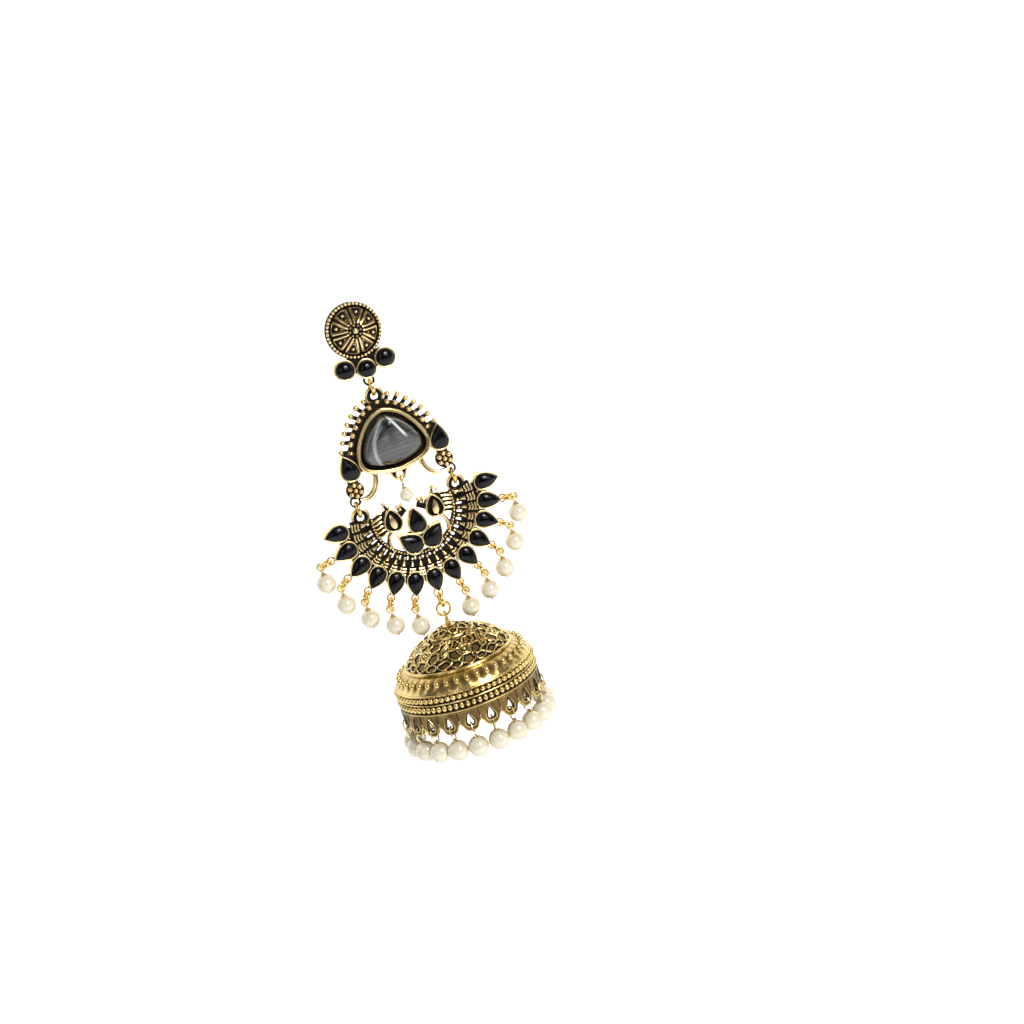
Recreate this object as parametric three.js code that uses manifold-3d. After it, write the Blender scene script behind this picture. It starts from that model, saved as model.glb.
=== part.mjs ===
// A long jhumka drop earring in antique gold: ear stud, cat's-eye pendant, crescent fan and bell.
// Millimetres, +Z up. The wearer sees the face that looks along -Y; the ear post runs back along +Y.
// The origin is the root of the ear post, at the centre of the stud's back face.

import * as THREE from 'three';
import { mergeVertices } from 'three/addons/utils/BufferGeometryUtils.js';
import Module from 'manifold-3d';

// Metal stock.
const plateThickness = 1.3; // cast plates of the stud, pendant and fan
const lugThickness = 0.7; // thin ears that the jump rings pass through
const bezelWall = 0.45;
const stoneClearance = 0.1; // between a stone and its setting
const seatClearance = 0.2; // between a ring and the hole edge that it hangs on
const lugHoleRadius = 0.66;
const lugRim = 0.6; // metal round a ring hole
const cupFloor = 0.9; // metal under a stone
const stoneSides = 8; // facets round a cut stone
const cutFront = 9; // cuts run out past every front face, up to here
const cutBack = -1; // and through holes start behind the back face

// Jump rings (oval, seen edge-on from the front).
const linkWire = 0.3; // wire radius
const linkDepth = 3.7; // outer size from front to back
const studLinkLength = 3.5;
const sideLinkLength = 3.5;
const dropLinkLength = 2.8;
const bellLinkLength = 3.4;

// Ear stud.
const postRadius = 0.4;
const postLength = 11;
const studRadius = 5.75;
const studRimWidth = 0.9;
const studDomeRise = 1.9;
const studRimHeight = 1.75; // top of the beaded rim above the back face
const studRimBead = 0.42; // radius of a bead of that rim
const studRays = 8;
const studRayWidth = 0.5;
const studRayGap = 0.35; // between the two ridges of a ray
const studHubRadius = 0.6;
const studCupHeight = 2.1; // rim height above the back face
const studStoneRise = 0.9; // table above the cup's rim
const studSideCupRadius = 2.2;
const studMiddleCupRadius = 2.1;
const studSideCupX = 4.3;
const studSideCupDrop = 7.0;
const studMiddleCupDrop = 8.0;

// Cat's-eye pendant.
const eyeRadius = 2.0;
const eyeHoleRadius = 0.8;
const shieldWidth = 15.6;
const shieldHeight = 13.4;
const shieldDrop = 2.5; // from the eye's centre to the shield's point
const shieldRimWidth = 0.8;
const shieldRimHeight = 3.1;
const shieldFloor = 1.3;
const shieldWidest = 0.69; // where the shield is widest, as a share of its height
const cabochonInset = 0.65; // dark groove between rim and stone
const cabochonRise = 3.2;
const cabochonPeakShare = 0.3; // height of the stone's peak below its point, as a share
const ballRadius = 0.52;
const innerRibWidth = 0.8; // the row of grains between the balls and the shield
const innerRibRise = 0.5;
const pearWidth = 4.2;
const pearHeight = 5.9;
const pearRimHeight = 2.3;
const pearStoneRise = 0.8;
const pearCentreX = 9.85;
const pearBelowWidest = 0.354; // centre of a pear cup below the shield's widest place
const pearCentreDrop = shieldDrop + shieldWidest * shieldHeight + pearBelowWidest;
const pearLean = 10; // degrees, points lean outward
const flowerRadius = 1.85;
const flowerHeight = 1.7;
const flowerBallRadius = 0.45;
const flowerBallCircle = 1.15;
const flowerX = 9.8;
const sideLugX = 10.5;
const sideLugBelowShield = 3.45; // ring hole below the shield's lower edge
const sideLugDrop = shieldDrop + shieldHeight + sideLugBelowShield;
const flowerAboveLug = 2.35; // centre of a flower above the side ring's hole
const flowerDrop = sideLugDrop - flowerAboveLug;
const hoopWidth = 0.9;
const hoopHeight = 1.9;
const dropLugWidth = 3.7;
const dropLugHeight = 2.3;
const kitePearlRadius = 1.45;
const kitePearlLinkLength = 2.3;
const kitePearlLinkWidth = 2.3;
const kitePearlLinkWire = 0.2;

// Crescent fan.
const bandDrop = 2.5; // from the eye line to the crescent's centre
const bandInnerRadius = 8.4;
const bandOuterRadius = 13.2;
const bandRidgeInner = 11.5; // radius where the raised, ridged rim starts
const bandRidgeRise = 1.0;
const bandSegments = 19;
const bandSpan = 180; // degrees
const bandEndReach = 10; // degrees of plain plate past each end
const slotInner = 9.25;
const slotOuter = 10.75;
const slotWidth = 0.55;
const petalCount = 13;
const petalPitch = 14.7; // degrees
const petalCentreDrop = 0.8;
const petalTipRadius = 19.3;
const petalLugReach = 0.6; // ring hole past the petal's tip
const petalLength = 5.5;
const petalWidth = 3.85;
const petalRimHeight = 2.2;
const petalStoneRise = 0.7;
const lotusWidth = 4.0;
const lotusHeight = 5.9;
const lotusDrop = 4.2;
const lotusRimHeight = 2.6;
const lotusStoneRise = 0.8;
const lowerLotusWidth = 4.5;
const lowerLotusHeight = 6.0;
const lowerLotusX = 2.55;
const lowerLotusDrop = 8.15;
const lowerLotusLean = 44; // degrees, points lean outward
const paisleyX = 4.6;
const paisleyDrop = 2.65;
const paisleyWidth = 4.1;
const paisleyHeight = 5.2;
const paisleyRimHeight = 2.1;
const paisleySeedWidth = 1.4;
const paisleySeedHeight = 3.0;
const featherHeight = 1.75;
const fanBallRadius = 0.42;
const ballStemWidth = 0.5;
const neckWidth = 0.8;

// Pearl drops of the fan.
const dropLoopRadius = 1.0;
const dropLoopWire = 0.24;
const pearlRadius = 2.0;
const pearlCapRadius = 0.75;
const pearlCapHeight = 0.9;
const headPinRadius = 0.35;

// Bell.
const ringRadius = 1.75;
const ringWire = 0.3;
const stemLoopLength = 2.1;
const stemWire = 0.27;
const finialRadius = 1.35;
const finialHeight = 1.4;
const bellWall = 0.8;
const bellRadius = 15.1;
const bellHeight = 18.4;
const bellSlots = 21;
const slotBottomWidth = 1.5;
const slotTopGap = 3.9; // slot point above the rim
const slotBottomGap = 1.15; // metal below a slot
const lobeNotchHeight = 1.7;
const fringeLinkWire = 0.2;
const fringeLinkLength = 3.9;
const fringeLinkWidth = 2.9;
const fringeLinkSunk = 0.6; // of a link's length inside its pearl's cap
const fringeSetback = 0.4; // the pearls' circle inside the rim's radius
const fringePress = 0.139; // how far a rim pearl is pressed towards each neighbour
const fringePearlRadius = (bellRadius - fringeSetback) * Math.sin(Math.PI / bellSlots) + fringePress;

const deg = Math.PI / 180;
const wasm = await Module();
wasm.setup();

const gold = { color: 0xc39a45, roughness: 0.32, metalness: 1 };
const blackGlass = { color: 0x08080a, roughness: 0.06, metalness: 0 };
const greyGlass = { color: 0x6f7370, roughness: 0.12, metalness: 0 };
const pearlCoat = { color: 0xf2ecd6, roughness: 0.25, metalness: 0 };

// Solids and booleans.
function solid(geometry) {
  const bare = geometry.clone();
  bare.deleteAttribute('normal');
  bare.deleteAttribute('uv');
  const merged = mergeVertices(bare, 1e-5);
  return new wasm.Manifold(new wasm.Mesh({
    numProp: 3,
    vertProperties: new Float32Array(merged.attributes.position.array),
    triVerts: new Uint32Array(merged.index.array),
  }));
}

function join(solids) {
  let layer = solids.slice();
  while (layer.length > 1) {
    const next = [];
    for (let i = 0; i < layer.length; i += 2) {
      next.push(i + 1 < layer.length ? layer[i].add(layer[i + 1]) : layer[i]);
    }
    layer = next;
  }
  return layer[0];
}

function piece(name, body, look) {
  const mesh = body.getMesh();
  const geometry = new THREE.BufferGeometry();
  geometry.setAttribute('position', new THREE.BufferAttribute(mesh.vertProperties, 3));
  geometry.setIndex(new THREE.BufferAttribute(mesh.triVerts, 1));
  geometry.computeVertexNormals();
  const item = new THREE.Mesh(geometry, new THREE.MeshStandardMaterial(look));
  item.name = name;
  return item;
}

// Outlines in the X-Z plane.
// A pear with its point up and its centre on the origin.
function pearOutline(width, height, count = 20, sharpness = 1.0) {
  const raw = [];
  for (let i = 0; i < count; i++) {
    const t = (2 * Math.PI * i) / count;
    raw.push([Math.sin(t) * Math.sin(t / 2) ** sharpness, Math.cos(t)]);
  }
  const widest = Math.max(...raw.map((p) => p[0]));
  return raw.map(([x, z]) => new THREE.Vector2((x / widest) * width / 2, (z * height) / 2));
}

function circleOutline(radius, count = 16) {
  const points = [];
  for (let i = 0; i < count; i++) {
    const t = (2 * Math.PI * (i + 0.5)) / count;
    points.push(new THREE.Vector2(radius * Math.sin(t), radius * Math.cos(t)));
  }
  return points;
}

// A hole that a round wire of this radius still passes: the sides touch the circle.
function holeOutline(radius, count = 8) {
  return circleOutline(radius / Math.cos(Math.PI / count), count);
}

// Part of a flat ring; angles run from straight down, in degrees.
function arcOutline(inner, outer, from, to, steps) {
  const points = [];
  for (let i = 0; i <= steps; i++) {
    const a = (from + ((to - from) * i) / steps) * deg;
    points.push(new THREE.Vector2(outer * Math.sin(a), -outer * Math.cos(a)));
  }
  for (let i = steps; i >= 0; i--) {
    const a = (from + ((to - from) * i) / steps) * deg;
    points.push(new THREE.Vector2(inner * Math.sin(a), -inner * Math.cos(a)));
  }
  return points;
}

// The same outline drawn in by a distance on every side, point for point.
function shrunk(outline, distance) {
  const box = new THREE.Box2().setFromPoints(outline);
  const centre = box.getCenter(new THREE.Vector2());
  const size = box.getSize(new THREE.Vector2());
  const across = 1 - (2 * distance) / size.x;
  const up = 1 - (2 * distance) / size.y;
  return outline.map((p) => new THREE.Vector2(
    centre.x + (p.x - centre.x) * across, centre.y + (p.y - centre.y) * up));
}

function turned(outline, angle, x, z) {
  const c = Math.cos(angle * deg);
  const s = Math.sin(angle * deg);
  return outline.map((p) => new THREE.Vector2(x + c * p.x - s * p.y, z + s * p.x + c * p.y));
}

function mirrored(outline) {
  return outline.map((p) => new THREE.Vector2(-p.x, p.y)).reverse();
}

// A strip of one width along a short list of points.
function stripOutline(points, width) {
  const left = [];
  const right = [];
  points.forEach((p, i) => {
    const a = points[Math.max(i - 1, 0)];
    const b = points[Math.min(i + 1, points.length - 1)];
    const n = new THREE.Vector2(-(b.y - a.y), b.x - a.x).normalize().multiplyScalar(width / 2);
    left.push(new THREE.Vector2(p.x + n.x, p.y + n.y));
    right.unshift(new THREE.Vector2(p.x - n.x, p.y - n.y));
  });
  return left.concat(right);
}

// Basic solids. Heights count forward (along -Y) from the plates' back face.
function slab(outline, from, to) {
  const shape = new THREE.Shape(outline);
  const geometry = new THREE.ExtrudeGeometry(shape, { depth: to - from, bevelEnabled: false });
  geometry.rotateX(Math.PI / 2);
  geometry.translate(0, -from, 0);
  return solid(geometry);
}

// A closed surface that narrows from one outline to another of as many points, back to front.
function loft(layers) {
  const positions = [];
  const index = [];
  const count = layers[0].outline.length;
  const clockwise = THREE.ShapeUtils.isClockWise(layers[0].outline);
  const rings = layers.map(({ outline }) => (clockwise ? outline.slice().reverse() : outline));
  rings.forEach((ring, k) => ring.forEach((p) => positions.push(p.x, -layers[k].height, p.y)));
  for (let k = 0; k + 1 < layers.length; k++) {
    for (let i = 0; i < count; i++) {
      const j = (i + 1) % count;
      const [a, b, c, d] = [k * count + i, k * count + j, (k + 1) * count + j, (k + 1) * count + i];
      index.push(a, b, c, a, c, d);
    }
  }
  const last = (layers.length - 1) * count;
  for (const [a, b, c] of THREE.ShapeUtils.triangulateShape(rings[0], [])) {
    index.push(a, c, b, last + a, last + b, last + c);
  }
  const geometry = new THREE.BufferGeometry();
  geometry.setAttribute('position', new THREE.Float32BufferAttribute(positions, 3));
  geometry.setIndex(index);
  return solid(geometry);
}

function ball(radius, x, height, z, small = false) {
  const geometry = small ? new THREE.OctahedronGeometry(radius, 0) : new THREE.IcosahedronGeometry(radius, 0);
  geometry.translate(x, -height, z);
  return solid(geometry);
}

function spun(profile, count) {
  const geometry = new THREE.LatheGeometry(profile.map(([r, z]) => new THREE.Vector2(r, z)), count);
  geometry.rotateX(Math.PI / 2);
  return solid(geometry);
}

// An oval wire ring round the X axis (or round Y if faceOn), centred on the origin.
function wireRing(width, length, wire, faceOn = false, steps = 10, sides = 5) {
  const geometry = new THREE.TorusGeometry(1, 0.3, sides, steps);
  const at = geometry.attributes.position;
  const a = width / 2 - wire;
  const b = length / 2 - wire;
  for (let i = 0; i < at.count; i++) {
    const x = at.getX(i);
    const y = at.getY(i);
    const r = Math.hypot(x, y);
    const across = (wire * (r - 1)) / 0.3;
    const up = (wire * at.getZ(i)) / 0.3;
    const [u, v] = [x / r, y / r];
    const n = new THREE.Vector2(u * b, v * a).normalize();
    const [p, q] = [a * u + n.x * across, b * v + n.y * across];
    if (faceOn) at.setXYZ(i, p, -up, q);
    else at.setXYZ(i, up, p, q);
  }
  return solid(geometry);
}

// Settings and cut stones.
// Where a stone sits: its outline, the lean of its point in degrees, and the height of its rim.
function cup(outline, lean, x, z, rimHeight) {
  return slab(turned(outline, lean, x, z), 0, rimHeight);
}

function cupHollow(outline, lean, x, z) {
  return slab(turned(shrunk(outline, bezelWall), lean, x, z), cupFloor, cutFront);
}

// A cut stone with a girdle just below the rim, a sloping crown and a flat table.
function cutStone(outline, rimHeight, rise) {
  const girdle = shrunk(outline, bezelWall + stoneClearance);
  return loft([
    { outline: girdle, height: cupFloor + stoneClearance },
    { outline: girdle, height: rimHeight - 0.15 },
    { outline: shrunk(girdle, rise), height: rimHeight + rise },
  ]);
}

function stonePiece(name, body, lean, x, z, look = blackGlass) {
  const item = piece(name, body, look);
  item.position.set(x, 0, z);
  item.rotation.y = -lean * deg;
  return item;
}

// Ear stud.
const cups = [
  { name: 'left', x: -studSideCupX, drop: studSideCupDrop, radius: studSideCupRadius },
  { name: 'middle', x: 0, drop: studMiddleCupDrop, radius: studMiddleCupRadius },
  { name: 'right', x: studSideCupX, drop: studSideCupDrop, radius: studSideCupRadius },
];
const studLugDrop = studMiddleCupDrop + studMiddleCupRadius + 0.4;
const studFieldRadius = studRadius - studRimWidth;
const lug = circleOutline(lugHoleRadius + lugRim, 8);
const lugHole = holeOutline(lugHoleRadius);

function studFieldHeight(r) {
  return plateThickness + 0.1 + studDomeRise * Math.max(0, 1 - (r / studFieldRadius) ** 2);
}

function flat(points) {
  return points.map(([x, z]) => new THREE.Vector2(x, z));
}

// A three-sided ridge that runs outward over the stud's dome, beside one ray's centre line.
function studRidge(angle, offset) {
  const from = studHubRadius + 0.5;
  const to = studFieldRadius - 0.15;
  const half = studRayWidth / 2;
  const low = 0.5;
  const ends = [{ r: from, crest: 0.3 }, { r: to, crest: 0.45 }];
  const corners = ends.flatMap(({ r, crest }) => [
    { x: offset - half, r, h: studFieldHeight(r) - low },
    { x: offset + half, r, h: studFieldHeight(r) - low },
    { x: offset, r, h: studFieldHeight(r) + crest },
  ]);
  const positions = corners.flatMap(({ x, r, h }) => {
    const at = turned([new THREE.Vector2(x, r)], angle, 0, 0)[0];
    return [at.x, -h, at.y];
  });
  const geometry = new THREE.BufferGeometry();
  geometry.setAttribute('position', new THREE.Float32BufferAttribute(positions, 3));
  geometry.setIndex([0, 1, 2, 3, 5, 4, 0, 4, 1, 0, 3, 4, 1, 5, 2, 1, 4, 5, 2, 3, 0, 2, 5, 3]);
  return solid(geometry);
}

function studFrame() {
  const inner = studRadius - studRimWidth;
  const profile = [[0, 0], [studRadius, 0], [studRadius, studRimHeight - 0.3],
    [studRadius - studRimBead, studRimHeight], [inner, studRimHeight - 0.3], [inner, studFieldHeight(inner)]];
  for (let i = 1; i <= 3; i++) {
    const r = studFieldRadius * (1 - i / 3);
    profile.push([r, studFieldHeight(r)]);
  }
  const disc = new THREE.LatheGeometry(profile.map(([r, h]) => new THREE.Vector2(r, h)), 24);
  disc.rotateX(Math.PI);
  const parts = [solid(disc)];
  for (let i = 0; i < studRays; i++) {
    for (const side of [-1, 1]) {
      parts.push(studRidge((360 * i) / studRays, (side * (studRayWidth + studRayGap)) / 2));
    }
  }
  parts.push(ball(studHubRadius, 0, studFieldHeight(0) + 0.25, 0));
  for (const { x, drop, radius } of cups) {
    parts.push(cup(circleOutline(radius, 16), 0, x, -drop, studCupHeight));
  }
  const web = flat([[-studSideCupX, -studSideCupDrop + 2], [studSideCupX, -studSideCupDrop + 2],
    [studSideCupX, -studSideCupDrop - 0.6], [0, -studMiddleCupDrop - 1.2],
    [-studSideCupX, -studSideCupDrop - 0.6]]);
  parts.push(slab(web, 0, plateThickness));
  parts.push(slab(turned(lug, 0, 0, -studLugDrop), 0, lugThickness));
  let body = join(parts);
  for (const { x, drop, radius } of cups) {
    body = body.subtract(cupHollow(circleOutline(radius, stoneSides), 0, x, -drop));
  }
  return body.subtract(slab(turned(lugHole, 0, 0, -studLugDrop), cutBack, cutFront));
}

const stud = new THREE.Group();
stud.add(piece('stud_frame', studFrame(), gold));
const post = new THREE.CylinderGeometry(postRadius, postRadius, postLength, 12);
post.translate(0, postLength / 2 + stoneClearance, 0);
stud.add(piece('ear_post', solid(post), gold));
for (const { name, x, drop, radius } of cups) {
  const stone = cutStone(circleOutline(radius, stoneSides), studCupHeight, studStoneRise);
  stud.add(stonePiece(`stud_stone_${name}`, stone, 0, x, -drop));
}

// Rings that link the parts.
const hangY = -lugThickness / 2; // the rings hang in the middle of the lugs' thickness

// A ring through a hole, reaching away from it in a direction counted in degrees from straight
// down, and the place of the next hole's centre, which the ring's far end holds the same way.
function ringFrom(name, hole, upperRadius, lowerRadius, length, angle = 0) {
  const away = new THREE.Vector2(Math.sin(angle * deg), -Math.cos(angle * deg));
  const centre = upperRadius - seatClearance - 2 * linkWire + length / 2;
  const next = centre + length / 2 - 2 * linkWire - seatClearance + lowerRadius;
  const ring = piece(name, wireRing(linkDepth, length, linkWire), gold);
  ring.position.set(hole.x + away.x * centre, hangY, hole.y + away.y * centre);
  ring.rotation.y = -angle * deg;
  return { ring, next: new THREE.Vector2(hole.x + away.x * next, hole.y + away.y * next) };
}

// Cat's-eye pendant (local origin: centre of its top eye's hole).
const shieldTable = [
  { across: 0, down: 0 }, { across: 0.13, down: 0.02 }, { across: 0.29, down: 0.06 },
  { across: 0.5, down: 0.145 }, { across: 0.7, down: 0.28 }, { across: 0.87, down: 0.44 },
  { across: 0.975, down: 0.59 }, { across: 1, down: shieldWidest }, { across: 0.96, down: 0.79 },
  { across: 0.85, down: 0.87 }, { across: 0.62, down: 0.935 }, { across: 0.3, down: 0.98 },
];

function shieldOutline() {
  const right = shieldTable.map(({ across, down }) => (
    new THREE.Vector2((across * shieldWidth) / 2, -shieldDrop - down * shieldHeight)));
  const bottom = new THREE.Vector2(0, -shieldDrop - shieldHeight);
  const left = right.slice(1).reverse().map((p) => new THREE.Vector2(-p.x, p.y));
  return [...right, bottom, ...left];
}

// Balls on the pendant's shoulders: how far out from the rim they stand, and where along its side.
const outerBalls = { out: 2.4, alongs: [0.1, 0.235, 0.355, 0.47, 0.58, 0.69, 0.8] };
const innerRib = { out: 1.15, alongs: [0.08, 0.22, 0.36, 0.52, 0.7] };

// Route of a side hoop as shares of the way across and down from the shield to the side lug.
const hoopRoute = [
  { across: 0, down: 0 }, { across: 0.03, down: 0.3 }, { across: 0.14, down: 0.62 },
  { across: 0.34, down: 0.88 }, { across: 0.62, down: 1 }, { across: 1, down: 0.97 },
];
const kiteDropHole = shieldDrop + shieldHeight + dropLugHeight - lugHoleRadius - lugRim;

function onBothSides(outline) {
  return [outline, mirrored(outline)];
}

function kiteFrame() {
  const outer = shieldOutline();
  const parts = [slab(outer, 0, shieldRimHeight)];
  parts.push(slab(circleOutline(eyeRadius, 14), 0, lugThickness));
  parts.push(slab(flat([[-1.5, -1], [-2.1, -shieldDrop - 0.9], [2.1, -shieldDrop - 0.9], [1.5, -1]]),
    0, lugThickness));
  const side = new THREE.CurvePath();
  for (let i = 0; i < 7; i++) side.add(new THREE.LineCurve(outer[i], outer[i + 1]));
  const spot = (along, out) => {
    const at = side.getPointAt(along);
    const tangent = side.getTangentAt(along);
    return new THREE.Vector2(at.x - tangent.y * out, at.y + tangent.x * out);
  };
  for (const sign of [-1, 1]) {
    for (const along of outerBalls.alongs) {
      const tip = spot(along, outerBalls.out);
      parts.push(ball(ballRadius, sign * tip.x, plateThickness / 2, tip.y));
    }
  }
  const apron = [new THREE.Vector2(0, -shieldDrop + 1.2)];
  for (const along of outerBalls.alongs) {
    apron.push(spot(along - 0.045, outerBalls.out - 1.3), spot(along - 0.012, outerBalls.out),
      spot(along + 0.012, outerBalls.out), spot(along + 0.045, outerBalls.out - 1.3));
  }
  apron.push(new THREE.Vector2(outer[7].x - 0.4, outer[7].y), new THREE.Vector2(0, -shieldDrop - 2));
  const pear = pearOutline(pearWidth, pearHeight, 16);
  const rib = stripOutline(innerRib.alongs.map((along) => spot(along, innerRib.out)), innerRibWidth);
  const route = new THREE.Vector2(sideLugX - shieldWidth * 0.32,
    -sideLugDrop + shieldDrop + shieldHeight * 0.955);
  const hoop = hoopRoute.map(({ across, down }) => new THREE.Vector2(
    shieldWidth * 0.32 + across * route.x, -shieldDrop - shieldHeight * 0.955 + down * route.y));
  const bridge = flat([[flowerX - 0.9, -flowerDrop - 1], [sideLugX - 0.9, -sideLugDrop + 0.3],
    [sideLugX + 0.9, -sideLugDrop + 0.3], [flowerX + 1.1, -flowerDrop - 1]]);
  const shoulder = flat([[shieldWidth / 2 - 0.6, -pearCentreDrop + 1.6],
    [shieldWidth / 2 - 0.9, -pearCentreDrop - 1.8], [pearCentreX, -pearCentreDrop - 1.2],
    [pearCentreX, -pearCentreDrop + 2.2]]);
  const waist = flat([[flowerX - 1.1, -pearCentreDrop - 2], [flowerX - 1.1, -flowerDrop + 1],
    [flowerX + 1.1, -flowerDrop + 1], [flowerX + 1.1, -pearCentreDrop - 2]]);
  const plates = [
    { outline: apron, height: plateThickness },
    { outline: rib, height: plateThickness + innerRibRise },
    { outline: turned(pear, -pearLean, pearCentreX, -pearCentreDrop), height: pearRimHeight },
    { outline: turned(circleOutline(flowerRadius, 14), 0, flowerX, -flowerDrop), height: plateThickness },
    { outline: stripOutline(hoop, hoopWidth), height: hoopHeight },
    { outline: turned(lug, 0, sideLugX, -sideLugDrop), height: lugThickness },
    { outline: bridge, height: lugThickness },
    { outline: shoulder, height: plateThickness },
    { outline: waist, height: plateThickness },
  ];
  for (const { outline, height } of plates) {
    for (const half of onBothSides(outline)) parts.push(slab(half, 0, height));
  }
  for (let i = 0; i < 7; i++) {
    const r = i < 6 ? flowerBallCircle : 0;
    const x = flowerX + r * Math.sin(i * 60 * deg);
    const z = -flowerDrop + r * Math.cos(i * 60 * deg);
    for (const sign of [-1, 1]) parts.push(ball(flowerBallRadius, sign * x, flowerHeight - 0.3, z, true));
  }
  const dropLug = [];
  for (let i = 0; i <= 8; i++) {
    const a = (-90 + (180 * i) / 8) * deg;
    dropLug.push(new THREE.Vector2((dropLugWidth / 2) * Math.sin(a),
      -shieldDrop - shieldHeight + 0.5 - (dropLugHeight + 0.5) * Math.cos(a)));
  }
  parts.push(slab(dropLug, 0, lugThickness));
  const cuts = [
    slab(shrunk(outer, shieldRimWidth), shieldFloor, cutFront),
    slab(holeOutline(eyeHoleRadius, 10), cutBack, cutFront),
    slab(turned(lugHole, 0, 0, -kiteDropHole), cutBack, cutFront),
  ];
  const hollow = shrunk(pearOutline(pearWidth, pearHeight, stoneSides), bezelWall);
  for (const half of onBothSides(turned(hollow, -pearLean, pearCentreX, -pearCentreDrop))) {
    cuts.push(slab(half, cupFloor, cutFront));
  }
  for (const half of onBothSides(turned(lugHole, 0, sideLugX, -sideLugDrop))) {
    cuts.push(slab(half, cutBack, cutFront));
  }
  return cuts.reduce((body, cut) => body.subtract(cut), join(parts));
}

// The high dome of the cat's-eye stone, peaked near its point.
function cabochon() {
  const base = shrunk(shieldOutline(), shieldRimWidth + cabochonInset);
  const peak = new THREE.Vector2(0, base[0].y - shieldHeight * cabochonPeakShare);
  const drawn = (share) => base.map((p) => new THREE.Vector2(
    peak.x + (p.x - peak.x) * share, peak.y + (p.y - peak.y) * share));
  const floor = shieldFloor + stoneClearance;
  return loft([
    { outline: base, height: floor },
    { outline: drawn(0.97), height: floor + 0.9 },
    { outline: drawn(0.8), height: floor + 0.9 + cabochonRise * 0.42 },
    { outline: drawn(0.5), height: floor + 0.9 + cabochonRise * 0.78 },
    { outline: drawn(0.12), height: floor + 0.9 + cabochonRise },
  ]);
}

const studHole = new THREE.Vector2(0, -studLugDrop);
const studRing = ringFrom('stud_link', studHole, lugHoleRadius, eyeHoleRadius, studLinkLength);
stud.add(studRing.ring);
const kite = new THREE.Group();
kite.position.z = studRing.next.y;
stud.add(kite);
kite.add(piece('kite_frame', kiteFrame(), gold));
kite.add(piece('cats_eye_stone', cabochon(), greyGlass));
for (const [name, sign] of [['kite_stone_left', -1], ['kite_stone_right', 1]]) {
  const stone = cutStone(pearOutline(pearWidth, pearHeight, stoneSides), pearRimHeight, pearStoneRise);
  kite.add(stonePiece(name, stone, -sign * pearLean, sign * pearCentreX, -pearCentreDrop));
}

// A bead with its cap and head pin, turned in one; the top of the cap is at height 0.
function turnedBead(radius, capRadius, capHeight, pinRadius) {
  const z = -capHeight - radius;
  return spun([[0, z - radius - pinRadius], [radius * 0.74, z - radius * 0.68], [radius, z],
    [radius * 0.74, z + radius * 0.68], [capRadius * 0.4, 0], [0, 0]], 10);
}

// A fan pearl hangs on a round loop seen face-on; the local origin is the loop's centre.
function fanPearl() {
  const bead = turnedBead(pearlRadius, pearlCapRadius, pearlCapHeight, headPinRadius);
  return join([wireRing(dropLoopRadius * 2, dropLoopRadius * 2, dropLoopWire, true),
    bead.translate([0, 0, -dropLoopRadius + dropLoopWire])]);
}

// The pendant's own pearl hangs on a thin loop seen edge-on.
function kitePearl() {
  const bead = turnedBead(kitePearlRadius, kitePearlRadius * 0.4, pearlCapHeight, headPinRadius * 0.7);
  return join([wireRing(kitePearlLinkWidth, kitePearlLinkLength, kitePearlLinkWire),
    bead.translate([0, 0, -kitePearlLinkLength / 2 + kitePearlLinkWire])]);
}
const kitePearlPiece = piece('kite_pearl', kitePearl(), pearlCoat);
kitePearlPiece.position.set(0, hangY,
  -kiteDropHole - lugHoleRadius + seatClearance + 2 * kitePearlLinkWire - kitePearlLinkLength / 2);
kite.add(kitePearlPiece);

// Crescent fan (local origin: midpoint between its two eyes' holes).
const petalOutline = pearOutline(petalWidth, petalLength, stoneSides, 0.8);
const petals = [];
for (let i = 0; i < petalCount; i++) {
  const angle = (i - (petalCount - 1) / 2) * petalPitch; // from straight down, to the right
  const r = petalTipRadius - petalLength / 2;
  petals.push({
    number: i + 1, angle,
    x: r * Math.sin(angle * deg),
    z: -petalCentreDrop - r * Math.cos(angle * deg),
    lugX: (petalTipRadius + petalLugReach) * Math.sin(angle * deg),
    lugZ: -petalCentreDrop - (petalTipRadius + petalLugReach) * Math.cos(angle * deg),
    lean: 180 + angle,
  });
}
const lotus = [
  { name: 'lotus_stone_top', width: lotusWidth, height: lotusHeight, x: 0, drop: lotusDrop, lean: 0 },
  { name: 'lotus_stone_left', width: lowerLotusWidth, height: lowerLotusHeight,
    x: -lowerLotusX, drop: lowerLotusDrop, lean: lowerLotusLean },
  { name: 'lotus_stone_right', width: lowerLotusWidth, height: lowerLotusHeight,
    x: lowerLotusX, drop: lowerLotusDrop, lean: -lowerLotusLean },
];

// Grains on the inner edge of the fan: one above each paisley and three on each crest.
const topBall = { x: paisleyX + 0.75, z: -paisleyDrop + 3.3 };
const crestBalls = [
  { x: 1.85, z: -paisleyDrop + 2.0 }, { x: 2.7, z: -paisleyDrop + 1.9 }, { x: 2.25, z: -paisleyDrop + 1.1 },
];

function bandPoint(radius, angle) {
  return new THREE.Vector2(radius * Math.sin(angle * deg), -bandDrop - radius * Math.cos(angle * deg));
}

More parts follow.
